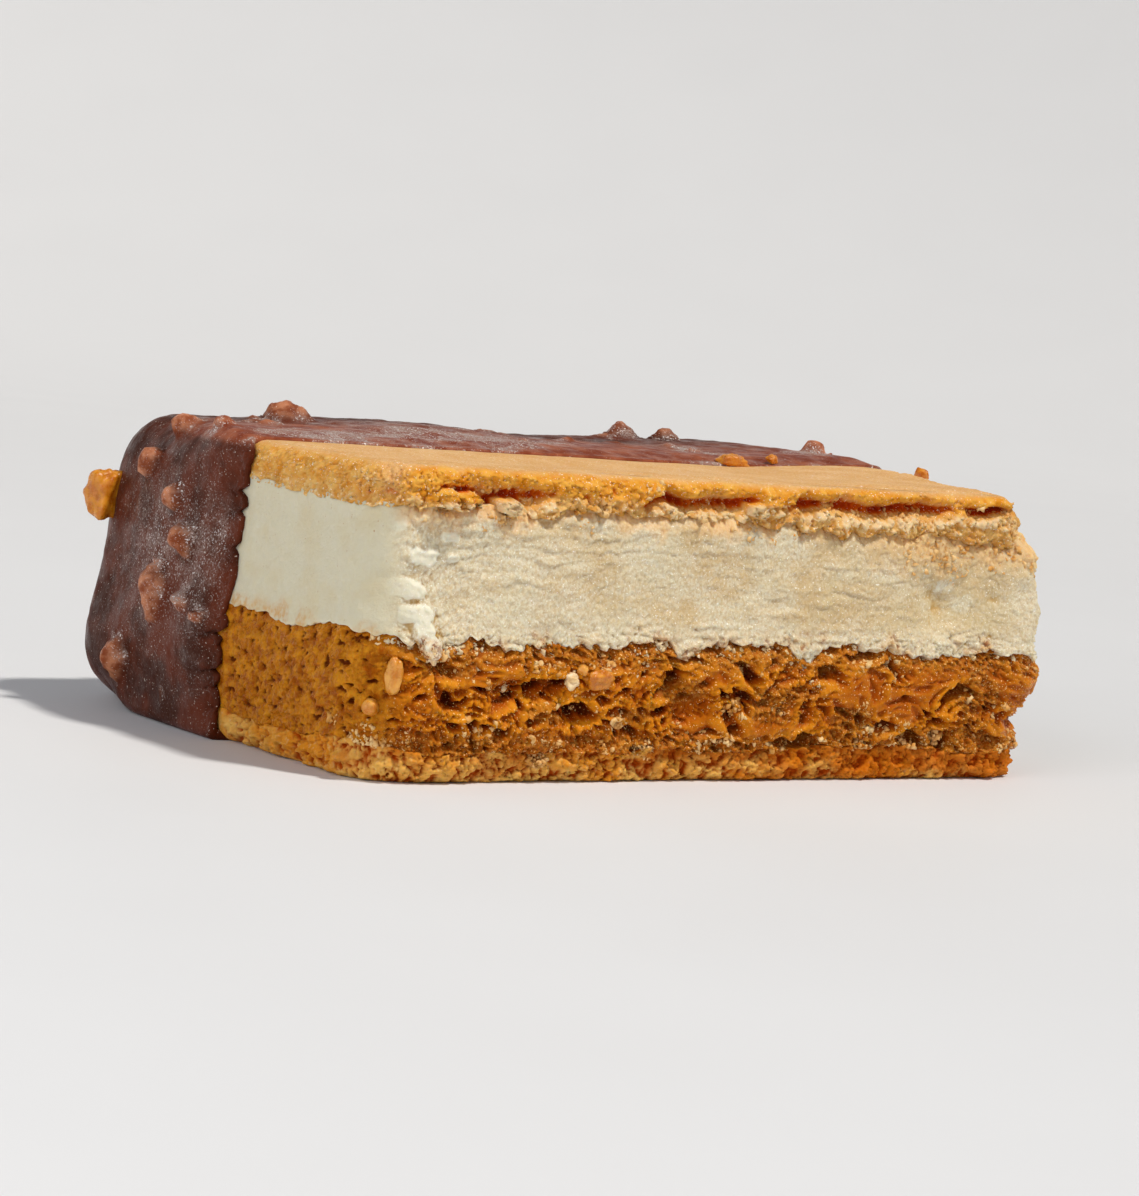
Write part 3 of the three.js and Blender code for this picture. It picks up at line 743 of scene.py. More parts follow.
vanilla_finish = new_finish(
    "vanilla_finish",
    vanilla_colour,
    lambda tree: spread(tree, cloud(tree, 0.5, 4.0), 0.35, 0.65, 0.4, 0.7),
    lambda tree: bumps(tree, cloud(tree, 0.18, 2.0), 0.05, bumps(tree, cloud(tree, 0.5, 4.0, 0.6), 0.12)),
    Subsurface_Weight=0.85,
    Subsurface_Radius=(1.0, 0.88, 0.65),
    Subsurface_Scale=0.8 * MM,
    Specular_IOR_Level=0.35,
)
vanilla_rings, vanilla_hollow = layer_skin(
    vanilla_foot,
    lambda x, y: TOP_BISCUIT_FROM + 0.4 + seam_wave(x, y, TOP_BISCUIT_FROM),
    rows=84,
    step=0.165,
    relief=vanilla_relief,
    droop=0.12,
)
add_piece(
    "vanilla_filling",
    closed_mesh(
        "vanilla_filling",
        vanilla_rings,
        hollow=vanilla_hollow,
        torn=torn_share(vanilla_rings[..., 0], vanilla_rings[..., 1]),
        dust=crumb_dust(*np.moveaxis(vanilla_rings, -1, 0)),
        ice=vanilla_ice(*np.moveaxis(vanilla_rings, -1, 0)),
        rub=vanilla_rub(*np.moveaxis(vanilla_rings, -1, 0)),
    ),
    vanilla_finish,
    "vanilla_ice_cream",
    "vanilla_ice_cream",
)

# ====================================================================================================
# Top biscuit
# A baked biscuit with a smooth golden skin. Under the skin the crumb has split along the whole torn
# side, so a dark crack runs between the overhanging crust and a ragged crumb ledge.
# ====================================================================================================

BISCUIT_CLODS = [  # x, z, half width, half height, how far out
    (-36.6, 29.3, 3.0, 1.2, 1.4),
    (-30, 29, 1.4, 0.8, 1.0),
    (4, 30, 2.2, 0.9, 1.0),
]


def from_edge(x, y):
    """How far inward from the nearest of the front and the two ends."""
    return np.minimum(y - FRONT_Y, HALF_LENGTH - np.abs(x))


def top_tilt(x, y):
    """0.9 mm that the top rises by towards the right end, further back than 28 mm before the middle."""
    return 0.9 * ease(x, 18, 42) * ease(y, -28, -12)


def crack_height(x, y):
    """Level of the crack: 1.8 mm over the biscuit's foot, higher to the right, with waves of 12 and 3 mm."""
    return TOP_BISCUIT_FROM + 1.8 + 0.015 * x + 0.5 * noise(x / 12, y / 12, 1) + 0.4 * noise(x / 3, y / 3, 3)


def top_biscuit_relief(x, y, z):
    """A crack up to 2.8 mm deep that closes here and there and is shallow by the left corner, a crust that
    stands out over it and rounds off softly to the skin, and clumps of crumb below, of 2.4, 0.8 and 0.42 mm,
    with clods that hide the crack in places. At the right end's torn corner the crust has broken off."""
    level = crack_height(x, y)
    gape = noise(x / 8, y / 8, 31) + 0.6 * noise(x / 2.2, y / 2.2, 33)
    gape = gape + 0.9 * hump(x, -34, 12) + 0.9 * hump(x, 27, 12)
    open_share = ease(gape, -0.5, 0.2) * (0.25 + 0.75 * ease(x, -41, -38))
    open_share = open_share * (1 - ease(x, 40, 43)) * (1 - ease(y, NEAR_Y - 3, NEAR_Y + 1))
    loose = clods(x, y, z, BISCUIT_CLODS)
    wide = 0.75 + 0.3 * noise(x / 2.5, y / 2.5, 35) + 0.35 * noise(x / 10, y / 10, 37)
    wide = wide + 0.45 * hump(x, -34, 12)
    crack = -2.8 * hump(z, level, wide) * open_share * (1 - np.clip(2 * loose, 0, 1))
    under_skin = ease(HEIGHT - z, 0.2, 1.6)
    below = ease(level - z, -0.4, 0.4)
    clumps = 0.45 * noise(x / 2.4, y / 2.4, z / 1.6 + 47) + crumb_relief(x, y, z, 0.8, 0.45) + 0.2 * below
    share = torn_share(x, y)
    fine = crumb_relief(x, y, z, 0.42, 0.5) * (0.45 + 0.55 * under_skin)
    broken = 0.4 + 0.9 * noise(x / 4, y / 4, 43) + 0.4 * noise(x / 1.6, y / 1.6, 44)
    broken = broken + 0.45 * under_skin * clumps
    torn = broken * (1 - below) + clumps * below + loose * (1 + crumb_relief(x, y, z, 0.7, 0.9))
    end = 0.4 * noise(x / 2.6, y / 2.6, z / 1.4) + 0.6 * under_skin * clumps
    off = (0.3 + 2.2 * ease(z, 30.2, 32.2)) * ease(x, 38, 45) * (1 - ease(y, -24, -8))
    return crack + share * torn + (1 - share) * end + fine - off


def crust_rise(x, y, z):
    """Soft pillowing of the skin, 0.3 noise(p / 12) and 0.05 noise(p / 2.5). Near the edge it droops here and
    there by up to 1.7 mm, with pores of 0.9 mm and grain of 0.4 mm. There is none of it under the chocolate.
    All of it is tilted."""
    inward = from_edge(x, y)
    pores = 0.1 * ease(layered(x / 0.9, y / 0.9, 80, 2), 0.3, 0.8) + 0.08 * noise(x / 0.4, y / 0.4, 77)
    soft = 0.3 * ease(inward, 1, 6) * noise(x / 12, y / 9, 70) + 0.05 * noise(x / 2.5, y / 2.5, 75)
    sagging = ease(noise(x / 5, y / 5, 72) + 0.5 * noise(x / 1.7, y / 1.7, 73), -0.5, 0.7)
    droop = 1.7 * sagging * hump(inward, 0.3, 2.4)
    fine = droop * ease(inward, -0.5, 0.6) + pores * (1 - ease(inward, 3, 9))
    return z + (1 - ease(y, DIP_Y - 7, DIP_Y - 2)) * (soft - fine) + top_tilt(x, y) * ease(inward, 0, 2)


def skin_share(x, y, z):
    """Where the baked skin is, from 0 to 1: from 0.6 mm under the top on, or from 1.2 to 3 mm in from the
    edge, both shifted by 0.5 noise(p / 1.5)."""
    shifted = 0.5 * noise(x / 1.5, y / 1.5, 90)
    return np.maximum(ease(z - HEIGHT, shifted - 0.6, 0), ease(from_edge(x, y) + shifted, 1.2, 3))


def biscuit_colour(tree):
    """Golden skin above, deeper gold down to the crack, and paler crumb on the ledge below, whitish on its
    crests, partly paler grain and partly painted highlight. Painted deep orange shade lies in the crack and
    the other hollows, and painted glints for sugar grains catching the light lie on all of it."""
    mottle = maths(tree, "MULTIPLY", cloud(tree, 5.0, 3.0), 0.4)
    mottle = maths(tree, "MULTIPLY_ADD", cloud(tree, 0.4, 3.0, 0.7), 0.6, mottle)
    skin = blend(tree, spread(tree, mottle, 0.35, 0.65), paint((215, 158, 89)), paint((233, 188, 131)))
    skin = speckled(tree, skin, (204, 132, 62), 0.35, 0.66, 0.74, 0.3)
    gold = shades(tree, (220, 139, 22), (236, 175, 72), 1.4, low=0.3, high=0.7)
    ledge = shades(tree, (214, 150, 64), (230, 186, 114), 1.4, low=0.3, high=0.7)
    # Whitish tips where the ledge stands out: partly paler grain, partly painted highlight.
    crests = spread(tree, attribute(tree, "hollow"), -0.1, -0.6)
    tips = maths(tree, "ADD", crests, spread(tree, cloud(tree, 0.4, 3.0), 0.55, 0.75))
    ledge = blend(tree, spread(tree, tips, 0.0, 1.6), ledge, paint((236, 212, 170)))
    gold = blend(tree, maths(tree, "MULTIPLY", attribute(tree, "cut"), 0.55), gold, ledge)
    body = blend(tree, attribute(tree, "ledge"), blend(tree, attribute(tree, "skin"), gold, skin), ledge)
    # Painted deep orange shade in the hollows, deepest in the crack.
    body = shade_in_hollows(tree, body, (214, 108, 6), 0.3, 0.9)
    body = shade_in_hollows(tree, body, (190, 62, 0), 0.6, 1.3)
    # Painted glints: white specks for sugar grains catching the light.
    return speckled(tree, body, (255, 248, 234), 0.22, 0.66, 0.72, 0.85)


def top_foot(x, y):
    """The seam's wave, with 0.3 noise(p / 1.1) on the torn side."""
    ragged = 0.3 * noise(x / 1.1, y / 1.1, 5) * torn_share(x, y)
    return TOP_BISCUIT_FROM + seam_wave(x, y, TOP_BISCUIT_FROM) + ragged


biscuit_finish = new_finish(
    "biscuit_finish",
    biscuit_colour,
    lambda tree: spread(tree, cloud(tree, 0.6, 4.0), 0.3, 0.7, 0.45, 0.75),
    lambda tree: bumps(tree, cloud(tree, 0.14, 2.0), 0.06, bumps(tree, cloud(tree, 0.45, 4.0, 0.7), 0.1)),
    Subsurface_Weight=0.2,
    Subsurface_Radius=(1.0, 0.5, 0.15),
    Subsurface_Scale=0.6 * MM,
    Specular_IOR_Level=0.18,
    Specular_Tint=(1, 0.8, 0.5, 1),
)
top_rings, top_hollow = layer_skin(
    top_foot,
    lambda x, y: HEIGHT + 0 * x,
    rows=34,
    step=0.165,
    relief=top_biscuit_relief,
    droop=0.12,
    top_rise=crust_rise,
)
top_x, top_y, top_z = np.moveaxis(top_rings, -1, 0)
add_piece(
    "top_biscuit_crust",
    closed_mesh(
        "top_biscuit_crust",
        top_rings,
        # How hollow each point is, for the painted shade and painted highlight of the biscuit; mostly taken
        # off at the broken right end.
        hollow=top_hollow * (1 - 0.85 * ease(top_x, 39, 43)),
        skin=skin_share(top_x, top_y, top_z),
        ledge=ease(crack_height(top_x, top_y) - top_z, -0.1, 0.5),
        cut=1 - torn_share(top_x, top_y),
    ),
    biscuit_finish,
    "top_biscuit",
    "top_biscuit",
)

# ====================================================================================================
# Chocolate coating
# A thin shell of milk chocolate that the back half was dipped in. Chopped nuts lie just under its
# surface, its front rim is ragged, and frost has bloomed grey over it in patches.
# ====================================================================================================

COAT = 1.4
COAT_ON_TOP = 0.9
COAT_THICK = 1.1
COAT_HEIGHT = HEIGHT + COAT
COAT_END = HALF_LENGTH + COAT
COAT_BACK = BACK_Y + COAT
BACK_ROUND = 9
BACK_LINE_X, BACK_LINE_Z = 28, 17
NUT_SIZE = 1.9

PLACED_NUTS = [  # those that stand out most: place, then half sizes against the usual one
    ((-COAT_END, 5, 20.9), (1.2, 1.2, 1.3)),
    ((-COAT_END, 10.2, 14.6), (1.2, 1.3, 2.1)),
    ((-COAT_END, 3.2, 14.6), (0.9, 0.8, 0.7)),
    ((-COAT_END, -0.8, 13.2), (0.6, 0.5, 0.5)),
    ((-COAT_END, 17.8, 6.3), (1.2, 1.35, 1.5)),
    ((-COAT_END, 8.4, 25.4), (1.0, 1.0, 1.1)),
    ((-COAT_END + 0.2, 16.4, 28.6), (0.9, 0.8, 1.1)),
    ((-COAT_END + 0.6, 7.5, 3.2), (0.7, 0.6, 0.8)),
    ((-COAT_END + 3, 4, COAT_HEIGHT - 0.6), (0.7, 0.7, 0.6)),
    ((-COAT_END + 4, 14, COAT_HEIGHT - 1.4), (1.3, 1.1, 0.85)),
    ((-26.8, 20, COAT_HEIGHT - 0.3), (1.9, 1.5, 1.55)),
    ((24.6, 24, COAT_HEIGHT - 0.5), (1.5, 1.3, 1.7)),
    ((29.2, 21, COAT_HEIGHT - 0.3), (1.2, 1.1, 1.5)),
    ((43.3, 8.5, COAT_HEIGHT + 0.3), (1.1, 1, 0.85)),
]


def spread_nuts(count, place_nut):
    """Nut n lies at (0.7548777 n, 0.5698403 n) mod 1 across and up a face, moved by up to 0.08 by chance."""
    step_across, step_up, step_of_size, jitter = 0.7548777, 0.5698403, 0.618034, 0.08
    n = np.arange(1, count + 1)
    across = 2 * ((n * step_across) % 1 + jitter * corner_value(n, count, 1)) - 1
    up = (n * step_up) % 1 + jitter * corner_value(n, count, 2)
    larger = (n * step_of_size) % 1
    return [place_nut(*numbers) for numbers in zip(across, up, 0.7 + 0.6 * larger, 1.2 - 0.5 * larger)]


NUTS = (
    PLACED_NUTS
    + spread_nuts(15, lambda u, v, a, b: ((36 * u, 3.5 + 21 * v, COAT_HEIGHT - 0.7), (a, b, 0.7)))
    + spread_nuts(14, lambda u, v, a, b: ((36 * u, COAT_BACK, 13 * v + (6 if v < 0.5 else 14)), (a, 0.7, b)))
    + spread_nuts(7, lambda u, v, a, b: ((COAT_END, 13 + 9 * u, 6.5 + 20 * v), (0.6, a, b)))
)

RIM_NOTCHES = [  # height, how deep
    (14.2, 0.8),
    (11.7, 2.0),
    (10.3, 0.7),
    (7.1, 1.6),
    (4.9, 1.0),
    (22.5, 0.7),
    (27, 1.3),
    (29.6, 1.6),
]


def side_lean(y, z):
    """How far the coat's sides stand out with the layers, less 1.5 mm that they lean in by further back."""
    return swell(z) - 1.5 * ease(z, 5, 16) * ease(y, 8, 26)


def coat_section():
    """Loop round a box seen from the front, as a place from -1 to 1 across and up with a direction outward.
    Each corner holds one place while its direction turns. Steps are of 2 mm underneath and of about 0.3 mm
    elsewhere."""
    under = np.linspace(-1, 1, 43)[:-1]
    side = np.linspace(-1, 1, 95)[:-1]
    over = np.linspace(1, -1, 330)[:-1]
    turn = np.linspace(0, math.pi / 2, 29)[:-1]
    parts = [
        (under, 0 * under - 1, 0 * under, 0 * under - 1),
        (0 * turn + 1, 0 * turn - 1, np.sin(turn), -np.cos(turn)),
        (0 * side + 1, side, 0 * side + 1, 0 * side),
        (0 * turn + 1, 0 * turn + 1, np.cos(turn), np.sin(turn)),
        (over, 0 * over + 1, 0 * over, 0 * over + 1),
        (0 * turn - 1, 0 * turn + 1, -np.sin(turn), np.cos(turn)),
        (0 * side - 1, -side, 0 * side - 1, 0 * side),
        (0 * turn - 1, 0 * turn - 1, -np.cos(turn), -np.sin(turn)),
    ]
    return (np.concatenate(column) for column in zip(*parts))


def coat_rings():
    """The shell as a sock: from the middle of its inner back wall, forward along the inside, round the rim,
    back along the outside and over the back. A ring is a box drawn in by inset, with its corners rounded by
    what is left of r: x = across (half width - inset - left) + nx left, left = max(r - inset, 0.3), and z the
    same way. r grows from 0.8 mm at the rim's bottom and 2.8 mm at its top to 6.5 and 9 mm at the back, where
    the ring turns in: inset = 9 (1 - cos a), y = back - 9 + 9 sin a. Its sides lean, and its top rises by
    0.8 mm left of the middle. At the rim, which has teeth and notches and is up to 1.8 mm further forward on
    the left end, the shell lies close on the food. The back wall is the last ring drawn towards the line
    z = 17, |x| < 28."""
    across, up, nx, nz = coat_section()
    top = HEIGHT + COAT_ON_TOP
    x, z = across * COAT_END, top / 2 * (1 + up)
    wave = noise(x / 7, z / 7, 40) + 0.4 * noise(x / 2.5, z / 2.5, 50)
    teeth = 0.5 * noise(x / 1.3, z / 1.3, 60) + 0.35 * noise(x / 0.7, z / 0.7, 62)
    teeth = teeth * (0.3 + np.maximum(0, noise(x / 4, z / 4, 64) + 0.2))
    notches = sum(deep * hump(z, level, 0.45) * (nx < -0.9) for level, deep in RIM_NOTCHES)
    ahead = 1.8 * ease(z, 2, 12) * ease(-nx, 0, 1)
    pressed = 0.75 - 0.2 * nz
    rim = DIP_Y + 0.9 * wave + teeth * ease(z, 0.3, 2) * (1 - 0.5 * nz**2) + notches - ahead

    def ring(inset, y):
        """One rounded box, drawn in by inset, at the depths y."""
        grown = ease(y, DIP_Y, 20)
        crown = ease(across, -1, -0.4) * (1 - 0.8 * ease(across, -0.2, 0.1))
        crown = top + 0.8 * ease(y, 0, 14) * crown + top_tilt(across * END_X, y)
        low_r, high_r = 0.8 + 0.7 * grown + 5 * ease(y, 15, 26), 2.8 + 6.2 * grown
        left = np.maximum(low_r + (high_r - low_r) * (1 + up) / 2 - inset, 0.3)
        low = inset + np.maximum(low_r - inset, 0.3)
        high = crown - inset - np.maximum(high_r - inset, 0.3)
        ring_x = across * (COAT_END - inset - left) + nx * left
        ring_z = low + (high - low) * (1 + up) / 2 + nz * left
        return np.stack((ring_x + nx * side_lean(y, ring_z), y + 0 * x, ring_z), axis=-1)

    def shell(thick, lengths, turns, shares):
        """Rings of one face, that deep in the coat: at those shares of the way from the rim to the bend, at
        those angles round the bend, and at those shares of the way over the back wall."""
        back, r = COAT_BACK - thick, BACK_ROUND - thick
        straight = []
        for share in lengths:
            y = rim + (back - r - rim) * share
            thinner = 0 if thick else pressed * (1 - ease(y - rim, 0, 5)) * ease(z, 0, 3)
            straight.append(ring(thick + thinner, y))
        bend = [ring(thick + r * (1 - math.cos(a)), back - r + r * math.sin(a)) for a in turns]
        spine_x = np.clip(x, -BACK_LINE_X, BACK_LINE_X)
        spine = np.stack((spine_x, back + 0 * x, BACK_LINE_Z + 0 * x), axis=-1)
        wall = [bend[-1] + (spine - bend[-1]) * share for share in shares]
        return [*straight, *bend, *wall]

    along = np.linspace(0, 1, 88) ** 1.1
    round_back = np.linspace(0, math.pi / 2, 20)[1:]
    to_middle = 1 - 0.99 * np.linspace(1, 0.005, 21)[1:] ** 1.1
    outside = shell(0, along, round_back, to_middle)
    inside = shell(COAT_THICK, (0.04, 0.5, 1), (0.5, 1.0, math.pi / 2), (0.5, 0.95))[::-1]
    close = COAT_THICK + 0.45 * ease(z, 0, 3)
    half = (close - pressed * ease(z, 0, 3)) / 2
    round_rim = np.linspace(0, math.pi, 9)[:-1]
    bead = [ring(close - half * (1 - math.cos(a)), rim - 0.35 * math.sin(a)) for a in round_rim]
    return np.array(inside + bead), np.array(outside)


def ring_normals(rings):
    """Unit normals of a grid: the cross product of its steps along the rows and along the columns, turned to
    point away from the part's middle."""
    round_step = np.roll(rings, -1, axis=1) - np.roll(rings, 1, axis=1)
    normal = np.cross(np.gradient(rings, axis=0), round_step)
    normal = normal / np.maximum(np.linalg.norm(normal, axis=-1, keepdims=True), 1e-9)
    return normal * np.sign((normal * (rings - rings.mean(axis=(0, 1)))).sum())


def nut_lift(points, normals):
    """How far the nuts push the coat out. From a point p along its normal n, a nut about c with half sizes h
    ends at t where |(p + t n - c) / h| = 1. With r = t / its half size that way, held to 1, it lifts by
    t (0.1 + 0.9 r³), and not at all where r is over 1.6. The greatest lift is kept, rounded off to nought as
    (t + sqrt(t² + 0.2²)) / 2. Also r², for the nuts' colour, and the frost on their upper flanks towards the
    key light, which is partly a painted highlight."""
    furthest, share, flank_frost_and_highlight = (np.full(points.shape[:-1], fill) for fill in (-9.0, 0.0, 0.0))
    uneven = 1 + 0.35 * layered(points[..., 0] / 1.3, points[..., 1] / 1.3, points[..., 2] / 1.3, 3)
    for centre, sizes in NUTS:
        half = NUT_SIZE * np.array(sizes)
        lean = side_lean(*centre[1:]) * np.sign(centre[0]) * (abs(centre[0]) > END_X)
        centre = np.array(centre) + (lean, 0, 0)
        way = normals / half
        place_in = (points - centre) / half * uneven[..., None]
        a, b = (way * way).sum(axis=-1), (way * place_in).sum(axis=-1)
        inside = b * b - a * ((place_in * place_in).sum(axis=-1) - 1)
        reach = (np.sign(inside) * np.sqrt(np.abs(inside)) - b) / a
        part = reach * np.sqrt(a)
        near = part < 1.6
        part = np.clip(part * near, 0, 1)
        furthest = np.maximum(furthest, np.where(near, reach, -9) * (0.1 + 0.9 * part**3))
        share = np.maximum(share, part**2)
        # The upper flank towards the key light, where frost and a painted highlight go.
        flank = ease(place_in[..., 2] - 0.6 * place_in[..., 1], 0.1, 0.6)
        flank_frost_and_highlight = np.maximum(flank_frost_and_highlight, hump(part, 0.5, 0.3) * flank)
    return (furthest + np.sqrt(furthest**2 + 0.2**2)) / 2, share, flank_frost_and_highlight


FROST_ON_LEFT = [  # y, z, half width, half height, how strong
    (11, 20, 8, 7, 0.85),
    (1, 18, 3, 7, 0.5),
    (3.2, 14.9, 1.0, 1.0, 5),
    (-0.8, 13.4, 0.7, 0.7, 4),
    (-1.6, 22.5, 1, 1.8, 0.9),
]


def frost_share(x, y, z):
    """Where frost has bloomed, from 0 to 4: round the middle of the left end and on two small nuts there, in
    streaks along the top's rim, and thinly in clouds of 14 mm elsewhere."""
    on_left = 1 - ease(x, -HALF_LENGTH, -HALF_LENGTH + 3)
    streaks = 1.6 * ease(noise(x / 8, y / 4, 5) + 0.5 * noise(x / 2.5, y / 1.6, 7), 0.0, 0.6)
    on_top = ease(z, HEIGHT - 1, HEIGHT) * (1 - ease(y, 8, 24))
    clouds = 0.5 * ease(layered(x / 14, y / 14, z / 14, 3), 0.05, 0.5)
    return np.clip(on_left * spots(y, z, FROST_ON_LEFT) + (1 - on_left) * clouds + on_top * streaks, 0, 4)


def coat_mesh():
    """The outside is pushed out by soft waves of 8 and 3 mm, by nuts, and by grain near the rim, and kept
    flat underneath. Frost is less over the nuts, apart from a band on their upper flanks towards the key
    light, which is partly a painted highlight, and the coat is thin near the rim on top."""
    inside, outside = coat_rings()
    x, y, z = outside[..., 0], outside[..., 1], outside[..., 2]
    normals = ring_normals(outside)
    lift, nut, flank_frost_and_highlight = nut_lift(outside, normals)
    off_floor = ease(z, 0.2, 2.5)
    waves = 0.3 * noise(x / 8, y / 8, z / 8) + 0.12 * layered(x / 3, y / 3, z / 3, 3)
    behind_rim = ease(y - outside[0, :, 1], 0, 2)
    middle_fade = 1 - ease(np.arange(len(outside))[:, None], len(outside) - 8, len(outside) - 1)
    chipped = (1 - ease(y - outside[0, :, 1], 0.2, 2.5)) * crumb_relief(x, y, z, 0.7, 0.4)
    chipped = chipped * (1 - 0.8 * ease(z, HEIGHT - 2, HEIGHT))
    push = (waves * behind_rim + lift + chipped) * off_floor * middle_fade
    rings = np.concatenate((inside, outside + normals * push[..., None]))
    nuts = np.concatenate((np.zeros(inside.shape[:2]), nut * middle_fade))
    frost = frost_share(*np.moveaxis(rings, -1, 0)) * (1 - 0.6 * nuts)
    # Frost on the nuts' upper flanks towards the key light: partly frost, partly a painted highlight.
    frost[len(inside) :] += 1.9 * flank_frost_and_highlight * ease(noise(x / 2, y / 2, z / 2), -0.4, 0.3)
    thin = ease(rings[..., 2], HEIGHT - 1, HEIGHT) * (1 - ease(rings[..., 1], 4, 22))
    return closed_mesh("chocolate_shell", rings, nut=nuts, frost=frost, thin=thin)


def chocolate_colour(tree):
    """Milk chocolate, paler on top near its rim and redder over the nuts, where it is thin, under a
    grey-white dust of frost with whiter grains. On the nuts' upper flanks towards the key light the frost is
    partly a painted highlight, and sparse pale specks all over are painted glints."""
    body = shades(tree, (60, 23, 9), (96, 42, 24), 5.0)
    body = blend(tree, attribute(tree, "thin"), body, shades(tree, (120, 53, 31), (156, 88, 60), 3.0))
    over_nut = shades(tree, (146, 74, 42), (216, 144, 104), 1.5, 3.0)
    body = blend(tree, spread(tree, attribute(tree, "nut"), 0.1, 0.9, 0.0, 0.8), body, over_nut)
    dust = spread(tree, cloud(tree, 0.24, 3.0, 0.7), 0.36, 0.62, 0.1, 1.0)
    cloudy = spread(tree, cloud(tree, 3.0, 4.0, 0.7), 0.38, 0.62, 0.15, 1.15)
    frost = attribute(tree, "frost")
    share = maths(tree, "MULTIPLY", maths(tree, "MULTIPLY", frost, dust), cloudy)
    body = blend(tree, maths(tree, "MULTIPLY", share, 0.76), body, paint((154, 133, 125)))
    grains = maths(tree, "MULTIPLY", frost, spread(tree, cloud(tree, 0.25, 1.5), 0.6, 0.68, 0.0, 0.85))
    body = blend(tree, grains, body, paint((226, 220, 218)))
    # Painted glints: sparse pale specks all over.
    return speckled(tree, body, (240, 226, 214), 0.24, 0.7, 0.75, 0.6)


chocolate_finish = new_finish(
    "chocolate_finish",
    chocolate_colour,
    lambda tree: spread(tree, cloud(tree, 2.0, 4.0), 0.35, 0.65, 0.32, 0.6),
    lambda tree: bumps(tree, cloud(tree, 0.2, 2.0), 0.025, bumps(tree, cloud(tree, 1.2, 4.0, 0.6), 0.12)),
    Subsurface_Weight=0.08,
    Subsurface_Radius=(1.0, 0.35, 0.2),
    Subsurface_Scale=0.6 * MM,
    Specular_IOR_Level=0.12,
    Specular_Tint=(1, 0.7, 0.55, 1),
)
add_piece("chocolate_shell", coat_mesh(), chocolate_finish, "chocolate", "chocolate_coating")

# ====================================================================================================
# Bare nut pieces
# Chopped nuts that no chocolate covers: a golden one stands out of the coat's back left edge, three lie
# on the top near the rim and the right end, and a few are held in the torn caramel.
# ====================================================================================================


def lumps_mesh(name, centres, halves, turns, rows, columns, rough, seed):
    """Lumps p = c + R (h * d / max|d|^0.5 * (1 + rough * (noise(1.7 d + seed) + 0.5 noise(4 d)))), where d
    goes round a ball in rows and columns and R is a turn of that many radians about z, and then about x."""
    centres, halves, turns = (np.array(part, dtype=float) for part in (centres, halves, turns))
    a = np.linspace(0, math.pi, rows + 2)[1:-1, None]
    b = np.linspace(0, 2 * math.pi, columns, endpoint=False)[None, :]
    ball = np.stack((np.sin(a) * np.cos(b), np.sin(a) * np.sin(b), np.cos(a) + 0 * b), axis=-1).reshape(-1, 3)
    ball = np.concatenate((ball, [(0, 0, 1), (0, 0, -1)]))
    own = seed + 3.7 * np.arange(len(centres))[:, None]
    swollen = noise(1.7 * ball[:, 0] + own, 1.7 * ball[:, 1], 1.7 * ball[:, 2])
    swollen = 1 + rough * (swollen + 0.5 * noise(4 * ball[:, 0] + own, 4 * ball[:, 1], 4 * ball[:, 2]))
    boxy = ball / np.abs(ball).max(axis=1, keepdims=True) ** 0.5
    p = boxy * halves[:, None] * swollen[..., None]
    cos_z, sin_z, cos_x, sin_x = (f(turns[:, None, n]) for n in (0, 1) for f in (np.cos, np.sin))
    x, y = p[..., 0] * cos_z - p[..., 1] * sin_z, p[..., 0] * sin_z + p[..., 1] * cos_z
    y, z = y * cos_x - p[..., 2] * sin_x, y * sin_x + p[..., 2] * cos_x
    points = (np.stack((x, y, z), axis=-1) + centres[:, None]).reshape(-1, 3)
    first = len(ball) * np.arange(len(centres))[:, None, None]
    groups = [(first + faces).reshape(-1, faces.shape[1]) for faces in closed_faces(rows, columns)]
    return filled_mesh(name, points, groups, {})


BARE_NUTS = [  # centre, half sizes, turn about z and then about x
    ((-COAT_END + 1.4, 27.5, 24.0), (2.2, 1.8, 2.9), (0.3, 0.1)),
    ((-17.6, -34.3, 11.4), (1.9, 0.9, 1.0), (0.2, 0.4)),
    ((22.0, -2.6, 33.6), (2.0, 1.3, 0.8), (0.1, 0.1)),
    ((28.2, -2.4, 34.2), (0.7, 0.6, 0.5), (0.4, 0.2)),
    ((43.0, -13.0, 33.9), (0.9, 0.8, 0.7), (0.7, 0.3)),
]
CARAMEL_NUTS = [
    ((-42.6, -33.1, 11.3), (0.8, 0.8, 1.9), (0.2, 0.05)),
    ((-44.1, -31.5, 7.9), (1.0, 0.8, 0.8), (0.5, 0.3)),
    ((-20.0, -34.4, 12.4), (0.6, 0.6, 0.5), (0.9, 0.3)),
]


def nut_finish(name, dark, light):
    """Oily nut flesh, with clouds of 1.2 mm between two shades and dents of 0.5 mm."""
    return new_finish(
        name,
        lambda tree: shades(tree, dark, light, 1.2, low=0.3, high=0.7),
        lambda tree: spread(tree, cloud(tree, 0.6), 0.3, 0.7, 0.2, 0.4),
        lambda tree: bumps(tree, cloud(tree, 0.5, 4.0, 0.6), 0.12),
        Subsurface_Weight=0.3,
        Subsurface_Radius=(1.0, 0.5, 0.15),
        Subsurface_Scale=1.0 * MM,
    )


golden_nut = nut_finish("golden_nut", (190, 106, 8), (222, 146, 34))
pale_nut = nut_finish("pale_nut", (200, 122, 24), (232, 170, 78))
bare_nuts = lumps_mesh("bare_nuts", *zip(*BARE_NUTS), rows=28, columns=40, rough=0.22, seed=5)
add_piece("bare_nuts", bare_nuts, golden_nut, "chocolate")
caramel_nuts = lumps_mesh("caramel_nuts", *zip(*CARAMEL_NUTS), rows=20, columns=28, rough=0.15, seed=9)
add_piece("caramel_nuts", caramel_nuts, pale_nut, "chocolate")

# ====================================================================================================
# Crumbs and flakes
# Biscuit crumbs have fallen on the torn side, mostly under the crust and along the bottom biscuit, and
# some cling together in heaps. Flakes of vanilla lie on the caramel's upper edge, and two larger chunks
# of it on the caramel.
# ====================================================================================================


